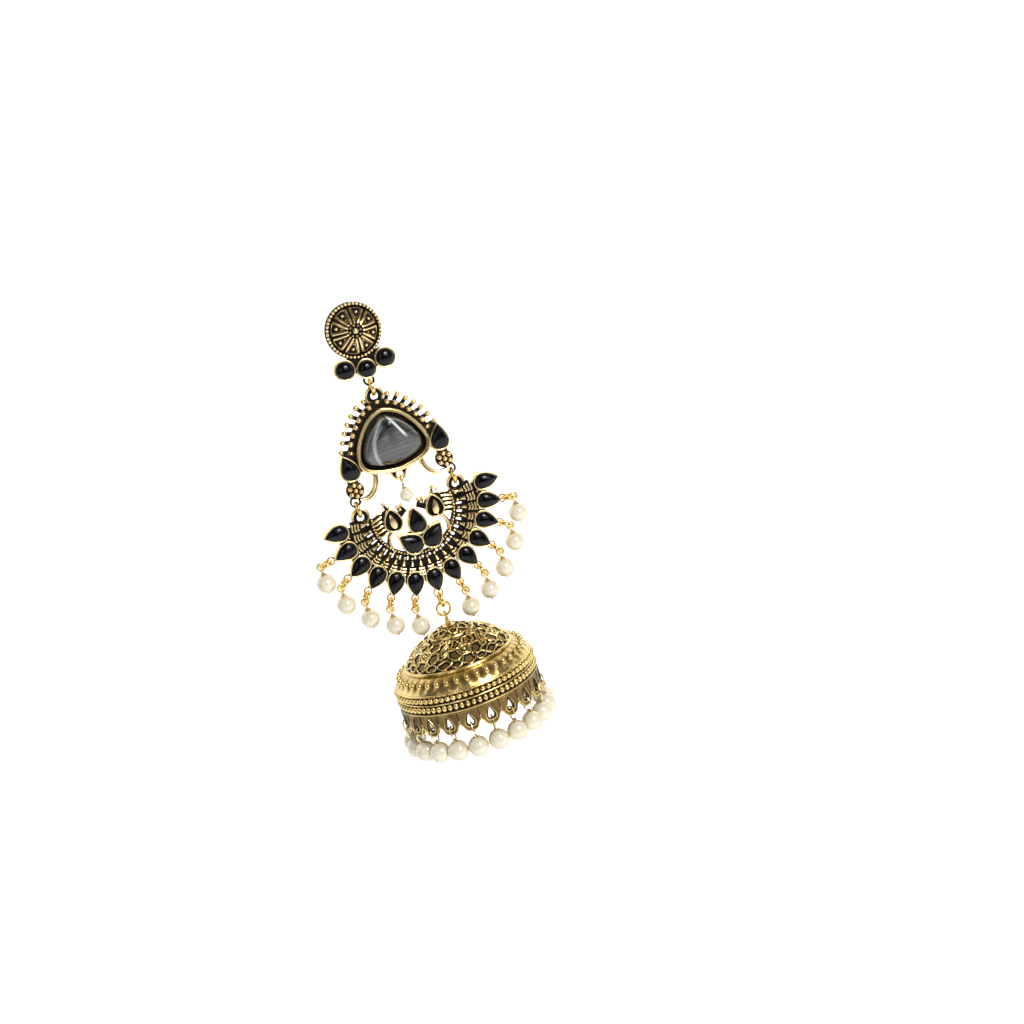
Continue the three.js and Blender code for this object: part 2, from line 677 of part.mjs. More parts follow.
function fanFrame() {
  const parts = [];
  const cuts = [];
  const endAngle = bandSpan / 2 + bandEndReach;
  const band = arcOutline(bandInnerRadius, bandOuterRadius, -endAngle, endAngle, 16);
  parts.push(slab(turned(band, 0, 0, -bandDrop), 0, plateThickness));
  const half = bandSpan / 2;
  const lastPetal = ((petalCount - 1) / 2) * petalPitch;
  const apronOuter = petalTipRadius - petalLength + 1;
  const apron = arcOutline(bandOuterRadius - 1.5, apronOuter, -lastPetal, lastPetal, 16);
  parts.push(slab(turned(apron, 0, 0, -petalCentreDrop), 0, plateThickness));
  const ridge = arcOutline(bandRidgeInner, bandOuterRadius, -half, half, 14);
  parts.push(slab(turned(ridge, 0, 0, -bandDrop), 0, plateThickness + bandRidgeRise));
  for (let i = 1; i < bandSegments; i++) {
    const angle = -half + (bandSpan * i) / bandSegments;
    const slot = stripOutline([bandPoint(slotInner, angle), bandPoint(slotOuter, angle)], slotWidth);
    cuts.push(slab(slot, cutBack, cutFront));
  }
  for (const { x, z, lean, number, lugX, lugZ } of petals) {
    parts.push(cup(petalOutline, lean, x, z, petalRimHeight));
    cuts.push(cupHollow(petalOutline, lean, x, z));
    if (number > 1 && number < petalCount) {
      parts.push(slab(turned(lug, 0, lugX, lugZ), 0, lugThickness));
      cuts.push(slab(turned(lugHole, 0, lugX, lugZ), cutBack, cutFront));
    }
  }
  for (const { width, height, x, drop, lean } of lotus) {
    parts.push(cup(pearOutline(width, height, 16), lean, x, -drop, lotusRimHeight));
    cuts.push(cupHollow(pearOutline(width, height, stoneSides), lean, x, -drop));
  }
  const body = pearOutline(paisleyWidth, paisleyHeight, 12, 0.5);
  const seed = pearOutline(paisleySeedWidth, paisleySeedHeight, 8);
  const feathers = flat([[paisleyX + 0.6, -paisleyDrop + 2.4], [paisleyX + 0.4, -paisleyDrop - 1.8],
    [bandInnerRadius + 0.3, -paisleyDrop - 2.6], [bandInnerRadius + 0.5, -paisleyDrop + 1.4]]);
  const neck = flat([[paisleyX + 0.2, -paisleyDrop - 2.1], [paisleyX + 1.5, -paisleyDrop - 3.2],
    [paisleyX + 1.95, -paisleyDrop - 4.7], [paisleyX + 1.3, -paisleyDrop - 6.6]]);
  const neckRoot = [new THREE.Vector2(paisleyX + 1.75, -paisleyDrop - 4.2),
    bandPoint(bandInnerRadius + 0.4, 62)];
  const crest = flat([[1.1, -lotusDrop + 2.4], [paisleyX - 1.2, -paisleyDrop - 0.7],
    [paisleyX - 1.5, -paisleyDrop + 0.8], [1.5, -paisleyDrop + 1.7]]);
  const stem = (points) => stripOutline(flat(points), ballStemWidth);
  const eye = circleOutline(eyeRadius, 14);
  const horn = flat([[sideLugX - 2.2, -0.2], [sideLugX - 2.4, -bandDrop - 0.4],
    [sideLugX + 2.4, -bandDrop - 0.4], [sideLugX + 1.9, -0.2]]);
  const ornaments = [
    { outline: turned(body, 0, paisleyX, -paisleyDrop), height: paisleyRimHeight },
    { outline: feathers, height: featherHeight },
    { outline: stripOutline(neck, neckWidth), height: plateThickness },
    { outline: stripOutline(neckRoot, neckWidth), height: plateThickness },
    { outline: crest, height: plateThickness },
    { outline: stem([[paisleyX + 0.3, -paisleyDrop + 1.8], [topBall.x, topBall.z]]), height: plateThickness },
    ...crestBalls.map(({ x, z }) => (
      { outline: stem([[2.2, -paisleyDrop + 0.6], [x, z]]), height: plateThickness })),
    { outline: turned(eye, 0, sideLugX, 0), height: lugThickness },
    { outline: horn, height: lugThickness },
  ];
  for (const { outline, height } of ornaments) {
    for (const half of onBothSides(outline)) parts.push(slab(half, 0, height));
  }
  for (const half of onBothSides(turned(shrunk(body, bezelWall), 0, paisleyX, -paisleyDrop))) {
    cuts.push(slab(half, plateThickness, cutFront));
  }
  for (const half of onBothSides(turned(holeOutline(eyeHoleRadius, 10), 0, sideLugX, 0))) {
    cuts.push(slab(half, cutBack, cutFront));
  }
  const relief = [];
  for (const half of onBothSides(turned(seed, 0, paisleyX, -paisleyDrop - 0.1))) {
    relief.push(slab(half, plateThickness - 0.3, paisleyRimHeight + 0.1));
  }
  for (const { x, z } of [topBall, ...crestBalls]) {
    for (const sign of [-1, 1]) relief.push(ball(fanBallRadius, sign * x, plateThickness / 2, z, true));
  }
  const solidBody = cuts.reduce((whole, cut) => whole.subtract(cut), join(parts));
  return join([solidBody, ...relief]);
}

const fan = new THREE.Group();
const sideRings = [['side_link_left', -1], ['side_link_right', 1]].map(([name, sign]) => (
  ringFrom(name, new THREE.Vector2(sign * sideLugX, -sideLugDrop), lugHoleRadius, eyeHoleRadius,
    sideLinkLength)));
for (const { ring } of sideRings) kite.add(ring);
fan.position.z = sideRings[0].next.y;
kite.add(fan);
fan.add(piece('fan_frame', fanFrame(), gold));
for (const { number, x, z, lean } of petals) {
  const stone = cutStone(petalOutline, petalRimHeight, petalStoneRise);
  fan.add(stonePiece(`petal_stone_${number}`, stone, lean, x, z));
}
for (const { name, width, height, x, drop, lean } of lotus) {
  const stone = cutStone(pearOutline(width, height, stoneSides), lotusRimHeight, lotusStoneRise);
  fan.add(stonePiece(name, stone, lean, x, -drop));
}

// Pearl drops of the fan.
const loopHole = dropLoopRadius - 2 * dropLoopWire;
// How far each drop's ring leans outward, in degrees from straight down, from the middle petal out.
const dropLeans = [0, 15, 22, 33, 53, 79];
for (const { number, angle, lugX, lugZ } of petals) {
  if (number === 1 || number === petalCount || number === (petalCount + 1) / 2) continue;
  const hole = new THREE.Vector2(lugX, lugZ);
  const lean = Math.sign(angle) * dropLeans[Math.abs(number - (petalCount + 1) / 2)];
  const holder = ringFrom(`drop_link_${number}`, hole, lugHoleRadius, loopHole, dropLinkLength, lean);
  fan.add(holder.ring);
  const drop = piece(`fan_pearl_${number}`, fanPearl(), pearlCoat);
  drop.position.set(holder.next.x, hangY, holder.next.y);
  fan.add(drop);
}

// Bell (local origin: centre of the round ring that carries it).
const ringHole = ringRadius - 2 * ringWire;
const bellLug = petals[(petalCount - 1) / 2];
const bellHole = new THREE.Vector2(bellLug.lugX, bellLug.lugZ);
const bellRing = ringFrom('bell_link', bellHole, lugHoleRadius, ringHole, bellLinkLength);
fan.add(bellRing.ring);
const bell = new THREE.Group();
bell.position.set(0, hangY, bellRing.next.y);
fan.add(bell);
bell.add(piece('bell_ring', wireRing(ringRadius * 2, ringRadius * 2, ringWire, true, 12), gold));

// The bell's outer profile as shares of its radius and height, from the crown down.
const bellProfile = [
  { out: 0.31, down: 0.076 }, { out: 0.56, down: 0.185 }, { out: 0.75, down: 0.345 },
  { out: 0.88, down: 0.424 }, { out: 0.985, down: 0.545 }, { out: 1.005, down: 0.7 }, { out: 1, down: 1 },
];
const stemLoopZ = -ringHole * Math.cos(15 * deg) + seatClearance + 2 * stemWire - stemLoopLength / 2;
const crownZ = stemLoopZ - stemLoopLength / 2 - finialHeight;

function bellBody() {
  const outer = bellProfile.map(({ out, down }) => [out * bellRadius, crownZ - down * bellHeight]);
  const inner = [bellProfile[1], bellProfile[3], bellProfile[6]].map(({ out, down }) => (
    [out * bellRadius - bellWall, crownZ - down * bellHeight - (down < 0.3 ? bellWall : 0)]));
  const wall = [[0, crownZ], ...outer, ...inner.reverse(), [0, crownZ - bellWall]];
  const shell = spun(wall.reverse(), bellSlots * 2);
  const finial = spun([[0, crownZ - 0.4], [finialRadius * 1.1, crownZ - 0.4], [finialRadius, crownZ + 0.35],
    [finialRadius * 0.45, crownZ + finialHeight * 0.7], [finialRadius * 0.4, crownZ + finialHeight + 0.25],
    [0, crownZ + finialHeight + 0.25]], 12);
  const loop = wireRing(stemLoopLength, stemLoopLength, stemWire);
  const body = join([shell, finial, loop.translate([0, 0, stemLoopZ])]);
  const rimZ = crownZ - bellHeight;
  const cuts = [];
  for (let i = 0; i < bellSlots; i++) {
    const turn = (360 * i) / bellSlots;
    const tear = flat([[0, rimZ + slotTopGap], [-slotBottomWidth / 2, rimZ + slotBottomGap + 0.7],
      [-slotBottomWidth / 4, rimZ + slotBottomGap], [slotBottomWidth / 4, rimZ + slotBottomGap],
      [slotBottomWidth / 2, rimZ + slotBottomGap + 0.7]]);
    cuts.push(slab(tear, bellRadius - 3, bellRadius + 3).rotate([0, 0, turn]));
    const notchHalf = (Math.PI * bellRadius) / bellSlots - slotBottomWidth / 2 - 0.3;
    const notch = flat([[0, rimZ + lobeNotchHeight], [-notchHalf, rimZ - 1], [notchHalf, rimZ - 1]]);
    cuts.push(slab(notch, bellRadius - 3, bellRadius + 3).rotate([0, 0, turn + 180 / bellSlots]));
  }
  return cuts.reduce((whole, cut) => whole.subtract(cut), body);
}
bell.add(piece('bell', bellBody(), gold));

// The pearls round the rim touch each other, so they are one piece with their wire links.
function bellFringe() {
  const rimZ = crownZ - bellHeight;
  const linkTop = rimZ + slotBottomGap + 2 * seatClearance + 2 * fringeLinkWire;
  const parts = [];
  for (let i = 0; i < bellSlots; i++) {
    const turn = (360 * i) / bellSlots;
    const linkY = -bellRadius + bellWall / 2;
    const link = wireRing(fringeLinkWidth, fringeLinkLength, fringeLinkWire);
    parts.push(link.translate([0, linkY, linkTop - fringeLinkLength / 2]).rotate([0, 0, turn]));
    const bead = turnedBead(fringePearlRadius, fringePearlRadius * 0.35, 0.1, headPinRadius * 0.7);
    parts.push(bead.rotate([0, 0, 18]).translate([0, -bellRadius + fringeSetback,
      linkTop - fringeLinkLength + fringeLinkSunk]).rotate([0, 0, turn]));
  }
  return join(parts);
}
bell.add(piece('bell_fringe', bellFringe(), pearlCoat));

export default stud;
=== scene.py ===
# %% [markdown]
# # A jhumka drop earring
# The real earring is a chain of small castings in antique gold: a round stud, a pendant with a
# grey cat's-eye stone, a crescent fan of black petals, and a domed bell with a rim of pearls.
# The frame below gives the solids and the bodies that move. Each casting is then modelled again
# with its grains, wires and bezels, in the same place, and stands for its plain solid.

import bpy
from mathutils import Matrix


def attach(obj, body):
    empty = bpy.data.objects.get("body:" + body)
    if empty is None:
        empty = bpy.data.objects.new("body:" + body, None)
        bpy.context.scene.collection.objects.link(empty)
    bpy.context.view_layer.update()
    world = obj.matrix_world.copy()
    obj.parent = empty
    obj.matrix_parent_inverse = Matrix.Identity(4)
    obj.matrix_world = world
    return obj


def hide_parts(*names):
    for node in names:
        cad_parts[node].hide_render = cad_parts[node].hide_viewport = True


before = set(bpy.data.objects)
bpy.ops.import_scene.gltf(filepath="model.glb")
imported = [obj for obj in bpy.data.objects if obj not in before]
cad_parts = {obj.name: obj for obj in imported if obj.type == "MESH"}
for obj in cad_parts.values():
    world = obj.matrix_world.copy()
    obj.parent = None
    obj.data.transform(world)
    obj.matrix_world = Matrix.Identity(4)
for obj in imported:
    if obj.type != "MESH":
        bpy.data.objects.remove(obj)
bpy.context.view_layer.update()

# %% Tools of the bench
from math import atan2, copysign, cos, degrees, hypot, pi, radians, sin

import bmesh
import bpy
from mathutils import Matrix, Vector

MM = 0.001
scene = bpy.context.scene
scene.view_settings.view_transform = "Standard"

# %% [markdown]
# ## Outlines
# Nearly every part is a flat casting whose outline is what one recognises: a circle, a pear, a
# strip. An outline is a short list of points (x to the right, z up) in millimetres. A curve
# through few points is drawn with the Catmull-Rom rule, as a jeweller bends a wire round pins.

# %% Outlines
def circle(radius, count=32):
    """Points of a circle, from the top, clockwise."""
    turns = [2 * pi * i / count for i in range(count)]
    return [(radius * sin(t), radius * cos(t)) for t in turns]


def pear(width, height, count=36, sharp=1.0):
    """A pear with its point up."""
    turns = [2 * pi * i / count for i in range(count)]
    raw = [(sin(t) * abs(sin(t / 2)) ** sharp, cos(t)) for t in turns]
    widest = max(x for x, z in raw)
    return [(x / widest * width / 2, z * height / 2) for x, z in raw]


def arc(inner, outer, start, end, steps):
    """Part of a flat ring; angles in degrees from straight down, to the right."""
    angles = [radians(start + (end - start) * i / steps) for i in range(steps + 1)]
    rim = [(outer * sin(a), -outer * cos(a)) for a in angles]
    return rim + [(inner * sin(a), -inner * cos(a)) for a in reversed(angles)]


def shrunk(outline, inward):
    """The outline drawn in on every side, point for point."""
    xs, zs = [p[0] for p in outline], [p[1] for p in outline]
    cx, cz = (min(xs) + max(xs)) / 2, (min(zs) + max(zs)) / 2
    kx = 1 - 2 * inward / (max(xs) - min(xs))
    kz = 1 - 2 * inward / (max(zs) - min(zs))
    return [(cx + (x - cx) * kx, cz + (z - cz) * kz) for x, z in outline]


def bent(points, steps):
    """A smooth curve through points of any dimension."""
    last = len(points) - 1
    curve = []
    for i in range(last):
        a, b, c, d = [Vector(points[min(max(i + k, 0), last)]) for k in (-1, 0, 1, 2)]
        for s in range(steps):
            t = s / steps
            curve.append(tuple(0.5 * (2 * b + (c - a) * t + (2 * a - 5 * b + 4 * c - d) * t ** 2
                                      + (3 * b - a - 3 * c + d) * t ** 3)))
    return curve + [tuple(points[-1])]


def strip(points, width):
    """A strip of one width along a line of points."""
    left, right = [], []
    for i, (x, z) in enumerate(points):
        a, b = points[max(i - 1, 0)], points[min(i + 1, len(points) - 1)]
        side = Vector((a[1] - b[1], b[0] - a[0])).normalized() * width / 2
        left.append((x + side.x, z + side.y))
        right.append((x - side.x, z - side.y))
    return left + right[::-1]


# %% [markdown]
# ## Metal parts
# A part begins as one face or one ring of points and grows with bmesh operators: extrude gives a
# plate its thickness, bevel breaks its edges, spin turns a profile, and bridged circles make a
# wire. Heights count forward, out of the face of the earring, because that is how relief is cast.
# Each part is then added to its casting with a number, "patina": below 0 for balls and wires that
# are rubbed bright, 0 for plain metal, 1 or more where the ground keeps its black oxide. No two
# parts end in the same plane at the back, and the backs are plain, because they lie on the skin.

# %% Metal parts
BRIGHT, PLAIN, OXIDE, SOOT = -0.7, 0.0, 1.0, 1.4
BACK = 0.12


def spot(x, z, out=0.0):
    return Vector((x, -out, z))


def pull(part, face, keep=False):
    """Extrude one face; gives the new face, still in the old place, and its corners."""
    grown = bmesh.ops.extrude_face_region(part, geom=[face])["geom"]
    if not keep:
        bmesh.ops.delete(part, geom=[face], context="FACES_ONLY")
    corners = [g for g in grown if isinstance(g, bmesh.types.BMVert)]
    return [g for g in grown if isinstance(g, bmesh.types.BMFace)][0], corners


def plate(outline, back, front, soft=0.1, wall=None, floor=None):
    """A plate with broken front edges; with a wall and a floor it becomes a cup for a stone."""
    part = bmesh.new()
    face = part.faces.new([part.verts.new(spot(x, z, back)) for x, z in outline])
    top, lifted = pull(part, face, keep=True)
    bmesh.ops.translate(part, verts=lifted, vec=spot(0, 0, front - back))
    rims = set(top.edges)
    if wall:
        xs, zs = [v.co.x for v in top.verts], [v.co.z for v in top.verts]
        centre = Vector(((min(xs) + max(xs)) / 2, 0, (min(zs) + max(zs)) / 2))
        narrow = (1 - 2 * wall / (max(xs) - min(xs)), 1, 1 - 2 * wall / (max(zs) - min(zs)))
        for size, depth in ((narrow, 0), ((1, 1, 1), floor - front)):
            top, moved = pull(part, top)
            bmesh.ops.scale(part, verts=moved, vec=size, space=Matrix.Translation(-centre))
            bmesh.ops.translate(part, verts=moved, vec=spot(0, 0, depth))
            if depth == 0:
                rims |= set(top.edges)
    if soft:
        bmesh.ops.bevel(part, geom=[e for e in rims if e.is_valid], offset=soft, segments=2,
                        profile=0.5, affect="EDGES", material=-1, clamp_overlap=True)
    return part


def holed(outline, hole, back, front):
    """A plate with one opening through it; both loops have as many points."""
    part = bmesh.new()
    edges = []
    for loop in (outline, hole):
        verts = [part.verts.new(spot(x, z, back)) for x, z in loop]
        edges += [part.edges.new((a, b)) for a, b in zip(verts, verts[1:] + verts[:1])]
    faces = bmesh.ops.bridge_loops(part, edges=edges)["faces"]
    grown = bmesh.ops.extrude_face_region(part, geom=faces, use_keep_orig=True)["geom"]
    lifted = [g for g in grown if isinstance(g, bmesh.types.BMVert)]
    bmesh.ops.translate(part, verts=lifted, vec=spot(0, 0, front - back))
    return part


def lathe(profile, steps=48, forward=False, ring=False):
    """A profile (radius, height) turned round the vertical, or round the line of sight."""
    part = bmesh.new()
    verts = [part.verts.new((r, 0, z)) for r, z in profile]
    pairs = list(zip(verts, verts[1:])) + ([(verts[-1], verts[0])] if ring else [])
    edges = [part.edges.new(pair) for pair in pairs]
    bmesh.ops.spin(part, geom=verts + edges, cent=(0, 0, 0), axis=(0, 0, 1), dvec=(0, 0, 0),
                   angle=2 * pi, steps=steps, use_merge=True, use_duplicate=False)
    bmesh.ops.remove_doubles(part, verts=part.verts, dist=1e-4)
    if forward:
        bmesh.ops.rotate(part, verts=part.verts, matrix=Matrix.Rotation(pi / 2, 3, "X"))
    return part


def bezel(high):
    """Patina of a cup: bright on its rim, dark down its walls."""
    return lambda co: PLAIN if -co.y > high - 0.3 else 2 * OXIDE


def washer(inner, outer, back, front, steps=28, soft=0.08):
    profile = [(inner, back), (outer, back), (outer, front - soft), (outer - soft, front),
               (inner + soft, front), (inner, front - soft)]
    return lathe(profile, steps, forward=True, ring=True)


def wire(points, radius, closed=False, sides=8):
    """A round wire along points; the radius is one number or one for each point."""
    part = bmesh.new()
    count = len(points)
    sizes = radius if isinstance(radius, (list, tuple)) else [radius] * count
    loops = []
    for i, point in enumerate(points):
        before = points[i - 1] if closed or i else point
        after = points[(i + 1) % count] if closed or i + 1 < count else point
        turn = (after - before).to_track_quat("Z", "Y").to_matrix().to_4x4()
        made = bmesh.ops.create_circle(part, segments=sides, radius=sizes[i],
                                       cap_ends=not closed and i in (0, count - 1),
                                       matrix=Matrix.Translation(point) @ turn)["verts"]
        loops.append({e for v in made for e in v.link_edges})
    pairs = list(zip(loops, loops[1:])) + ([(loops[-1], loops[0])] if closed else [])
    for one, other in pairs:
        bmesh.ops.bridge_loops(part, edges=list(one | other))
    return part


def rod(points, radius, sides=8):
    """A short wire with rounded ends, as a cast ridge has."""
    first, last = points[0], points[-1]
    lead = (points[1] - first).normalized() * radius
    tail = (points[-2] - last).normalized() * radius
    line = [first, first + lead * 0.35, first + lead] + list(points[1:-1])
    line += [last + tail, last + tail * 0.35, last]
    sizes = [0.3, 0.8] + [1] * (len(line) - 4) + [0.8, 0.3]
    return wire(line, [radius * s for s in sizes], sides=sides)


def oval(width, length, thick, face_on=False, steps=28, sides=10):
    """A closed wire ring round its own centre, edge-on to the viewer unless face_on."""
    turns = [2 * pi * i / steps for i in range(steps)]
    a, b = width / 2 - thick, length / 2 - thick
    if face_on:
        points = [spot(a * sin(t), b * cos(t)) for t in turns]
    else:
        points = [spot(0, b * cos(t), a * sin(t)) for t in turns]
    return wire(points, thick, closed=True, sides=sides)


def grains(places, radius, fine=2):
    """Small balls at (x, z, out)."""
    part = bmesh.new()
    for x, z, out in places:
        bmesh.ops.create_icosphere(part, subdivisions=fine, radius=radius,
                                   matrix=Matrix.Translation(spot(x, z, out)))
    return part


def around(part, count):
    """Copies of a part all round the vertical axis."""
    bmesh.ops.spin(part, geom=part.verts[:] + part.edges[:] + part.faces[:], cent=(0, 0, 0),
                   axis=(0, 0, 1), dvec=(0, 0, 0), angle=2 * pi * (count - 1) / count,
                   steps=count - 1, use_merge=False, use_duplicate=True)
    return part


def add(casting, part, patina=PLAIN, x=0.0, z=0.0, lean=0.0, y=0.0, both=False):
    """Place a part, leaning clockwise by degrees, and add it, on both sides if asked."""
    turn = Matrix.Rotation(radians(lean), 3, "Y")
    bmesh.ops.rotate(part, verts=part.verts, matrix=turn)
    bmesh.ops.translate(part, verts=part.verts, vec=(x, y, z))
    layer = part.verts.layers.float.new("patina")
    for vert in part.verts:
        vert[layer] = patina(vert.co) if callable(patina) else patina
    for side in ((1, -1) if both else (1,)):
        bmesh.ops.scale(part, verts=part.verts, vec=(side, 1, 1))
        bmesh.ops.recalc_face_normals(part, faces=part.faces)
        mesh = bpy.data.meshes.new("part")
        part.to_mesh(mesh)
        casting.from_mesh(mesh)
        bpy.data.meshes.remove(mesh)
    part.free()


def adder(casting, height):
    """An add() for one casting whose own zero lies at a height."""
    def add_here(part, patina=PLAIN, x=0.0, z=0.0, lean=0.0, both=False):
        add(casting, part, patina, x, height + z, lean, both=both)
    return add_here


def plain_backs(casting):
    """Rub the back of a flat casting clean, because it lies on the skin."""
    casting.normal_update()
    layer = casting.verts.layers.float["patina"]
    for vert in casting.verts:
        if vert.normal.y > 0.5:
            vert[layer] = min(vert[layer], BACK)


def finish_piece(casting, name, body, finish, slot, *nodes):
    """Bring a casting to metres and hand it to the frame in place of its plain solids."""
    bmesh.ops.scale(casting, verts=casting.verts, vec=(MM, MM, MM))
    mesh = bpy.data.meshes.new(name)
    casting.to_mesh(mesh)
    casting.free()
    mesh.shade_smooth()
    mesh.set_sharp_from_angle(angle=radians(38))
    mesh.materials.append(finish)
    piece = bpy.data.objects.new(name, mesh)
    scene.collection.objects.link(piece)
    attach(piece, body)
    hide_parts(*nodes)
    print(f"{name}: {len(mesh.polygons)} faces, rides on {body}")


# %% [markdown]
# ## Antique gold
# Antique plating is bright gold over a black oxide that is rubbed off again: it stays in every
# recess. So one node group makes the mask. Ambient occlusion finds the recesses and the joins
# between parts and darkens them, partly as that oxide and partly as painted shade. The same node
# looking inside finds the worn edges, the patina number says which grounds stay black, and noise
# keeps the line between them from being even. On its way to black the gold first turns brown, and
# black oxide shines less than gold. The Principled shader stays in each material.

# %% Patina group
def new_group(name, inputs, outputs):
    group = bpy.data.node_groups.new(name, "ShaderNodeTree")
    for title, kind, value in inputs:
        socket = group.interface.new_socket(title, in_out="INPUT", socket_type="NodeSocket" + kind)
        socket.default_value = value
    for title, kind in outputs:
        group.interface.new_socket(title, in_out="OUTPUT", socket_type="NodeSocket" + kind)
    nodes = group.nodes
    return group, nodes.new("NodeGroupInput"), nodes.new("NodeGroupOutput")


def set_inputs(node, values):
    for title, value in values.items():
        node.inputs[title].default_value = value


def math_node(tree, kind, first, second=None, clamp=False):
    node = tree.nodes.new("ShaderNodeMath")
    node.operation = kind
    node.use_clamp = clamp
    for socket, value in zip(node.inputs, (first, second)):
        if isinstance(value, bpy.types.NodeSocket):
            tree.links.new(value, socket)
        elif value is not None:
            socket.default_value = value
    return node.outputs[0]


def ramp(tree, value, low, high, start=0.0, end=1.0):
    node = tree.nodes.new("ShaderNodeMapRange")
    tree.links.new(value, node.inputs["Value"])
    set_inputs(node, {"From Min": low, "From Max": high, "To Min": start, "To Max": end})
    return node.outputs["Result"]


def mixed(tree, share, one, other):
    node = tree.nodes.new("ShaderNodeMix")
    node.data_type = "RGBA"
    for socket, value in ((node.inputs[0], share), (node.inputs[6], one), (node.inputs[7], other)):
        if isinstance(value, bpy.types.NodeSocket):
            tree.links.new(value, socket)
        else:
            socket.default_value = value
    return node.outputs[2]


def noise(tree, scale, detail=3.0, stretch=None):
    place = tree.nodes.new("ShaderNodeTexCoord").outputs["Object"]
    if stretch:
        mapping = tree.nodes.new("ShaderNodeMapping")
        set_inputs(mapping, {"Scale": stretch})
        tree.links.new(place, mapping.inputs["Vector"])
        place = mapping.outputs["Vector"]
    node = tree.nodes.new("ShaderNodeTexNoise")
    set_inputs(node, {"Scale": scale, "Detail": detail})
    tree.links.new(place, node.inputs["Vector"])
    return node.outputs["Fac"]


def build_patina_group():
    group, given, out = new_group("Patina", [
        ("Bright", "Color", (0.9, 0.68, 0.3, 1)),
        ("Deep", "Color", (0.5, 0.3, 0.1, 1)),
        ("Stain", "Color", (0.34, 0.21, 0.06, 1)),
        ("Oxide", "Color", (0.012, 0.009, 0.007, 1)),
        ("Ground", "Float", 0.0), ("Reach", "Float", 0.0008),
        ("Shine", "Float", 0.22),
    ], [("Color", "Color"), ("Metallic", "Float"),
        ("Roughness", "Float"), ("Specular", "Float"),
        ("Normal", "Vector")])
    shade = group.nodes.new("ShaderNodeAmbientOcclusion")
    shade.samples = 8
    shade.only_local = True
    group.links.new(given.outputs["Reach"], shade.inputs["Distance"])
    edge = group.nodes.new("ShaderNodeAmbientOcclusion")
    edge.samples = 6
    edge.only_local = True
    edge.inside = True
    set_inputs(edge, {"Distance": 0.00014})
    coarse = noise(group, 700)
    fine = noise(group, 5200, 2.0)
    # Painted shade in part: ambient occlusion darkens hollows and the joins between parts, partly as
    # oxide, partly as shade.
    oxide_and_shade_in_recess = ramp(group, shade.outputs["AO"], 0.8, 0.38)
    rubbed = math_node(group, "MINIMUM", given.outputs["Ground"], 0.0)
    oxide_and_shade_in_recess = math_node(group, "ADD", oxide_and_shade_in_recess, rubbed, clamp=True)
    worn = ramp(group, edge.outputs["AO"], 0.75, 0.4, 0.0, 0.4)
    ground = math_node(group, "SUBTRACT", given.outputs["Ground"], worn, clamp=True)
    dark = math_node(group, "MAXIMUM", oxide_and_shade_in_recess, ground)
    uneven = math_node(group, "MULTIPLY", math_node(group, "SUBTRACT", coarse, 0.5), 0.25)
    dark = math_node(group, "ADD", dark, uneven, clamp=True)
    dark = ramp(group, dark, 0.12, 0.72)
    tone = ramp(group, noise(group, 260, 2.0), 0.3, 0.75)
    gold = mixed(group, tone, given.outputs["Bright"], given.outputs["Deep"])
    stain = mixed(group, ramp(group, dark, 0.0, 0.55), gold, given.outputs["Stain"])
    black = ramp(group, dark, 0.45, 1.0)
    group.links.new(mixed(group, black, stain, given.outputs["Oxide"]), out.inputs["Color"])
    group.links.new(ramp(group, black, 0, 1, 1.0, 0.06), out.inputs["Metallic"])
    group.links.new(ramp(group, black, 0, 1, 0.5, 0.1), out.inputs["Specular"])
    rough = math_node(group, "ADD", given.outputs["Shine"], ramp(group, fine, 0.3, 0.8, 0.0, 0.16))
    rough = math_node(group, "ADD", rough, math_node(group, "MULTIPLY", dark, 0.3), clamp=True)
    group.links.new(rough, out.inputs["Roughness"])
    bump = group.nodes.new("ShaderNodeBump")
    set_inputs(bump, {"Strength": 0.18, "Distance": 0.00004})
    group.links.new(math_node(group, "ADD", coarse, fine), bump.inputs["Height"])
    group.links.new(bump.outputs["Normal"], out.inputs["Normal"])
    return group


patina_group = build_patina_group()


# %% Antique gold, pale wire
def new_finish(name):
    finish = bpy.data.materials.new(name)
    finish.use_nodes = True
    return finish, finish.node_tree, finish.node_tree.nodes["Principled BSDF"]


def gilded(name, bright, deep, shine, reach):
    finish, tree, shader = new_finish(name)
    group = tree.nodes.new("ShaderNodeGroup")
    group.node_tree = patina_group
    set_inputs(group, {"Bright": bright, "Deep": deep, "Shine": shine, "Reach": reach})
    ground = tree.nodes.new("ShaderNodeAttribute")
    ground.attribute_name = "patina"
    tree.links.new(ground.outputs["Fac"], group.inputs["Ground"])
    for title, socket in (("Color", "Base Color"), ("Metallic", "Metallic"),
                          ("Roughness", "Roughness"), ("Specular", "Specular IOR Level"),
                          ("Normal", "Normal")):
        tree.links.new(group.outputs[title], shader.inputs[socket])
    return finish


antique_gold = gilded("antique_gold", (1.0, 0.8, 0.42, 1), (0.85, 0.6, 0.24, 1), 0.16, 0.0008)
bell_gold = gilded("bell_gold", (0.92, 0.7, 0.29, 1), (0.66, 0.47, 0.16, 1), 0.17, 0.0007)
ring_gold = gilded("ring_gold", (1.0, 0.74, 0.28, 1), (0.88, 0.56, 0.16, 1), 0.12, 0.0003)
pale_gold = gilded("pale_gold", (0.95, 0.82, 0.52, 1), (0.8, 0.62, 0.3, 1), 0.2, 0.0004)
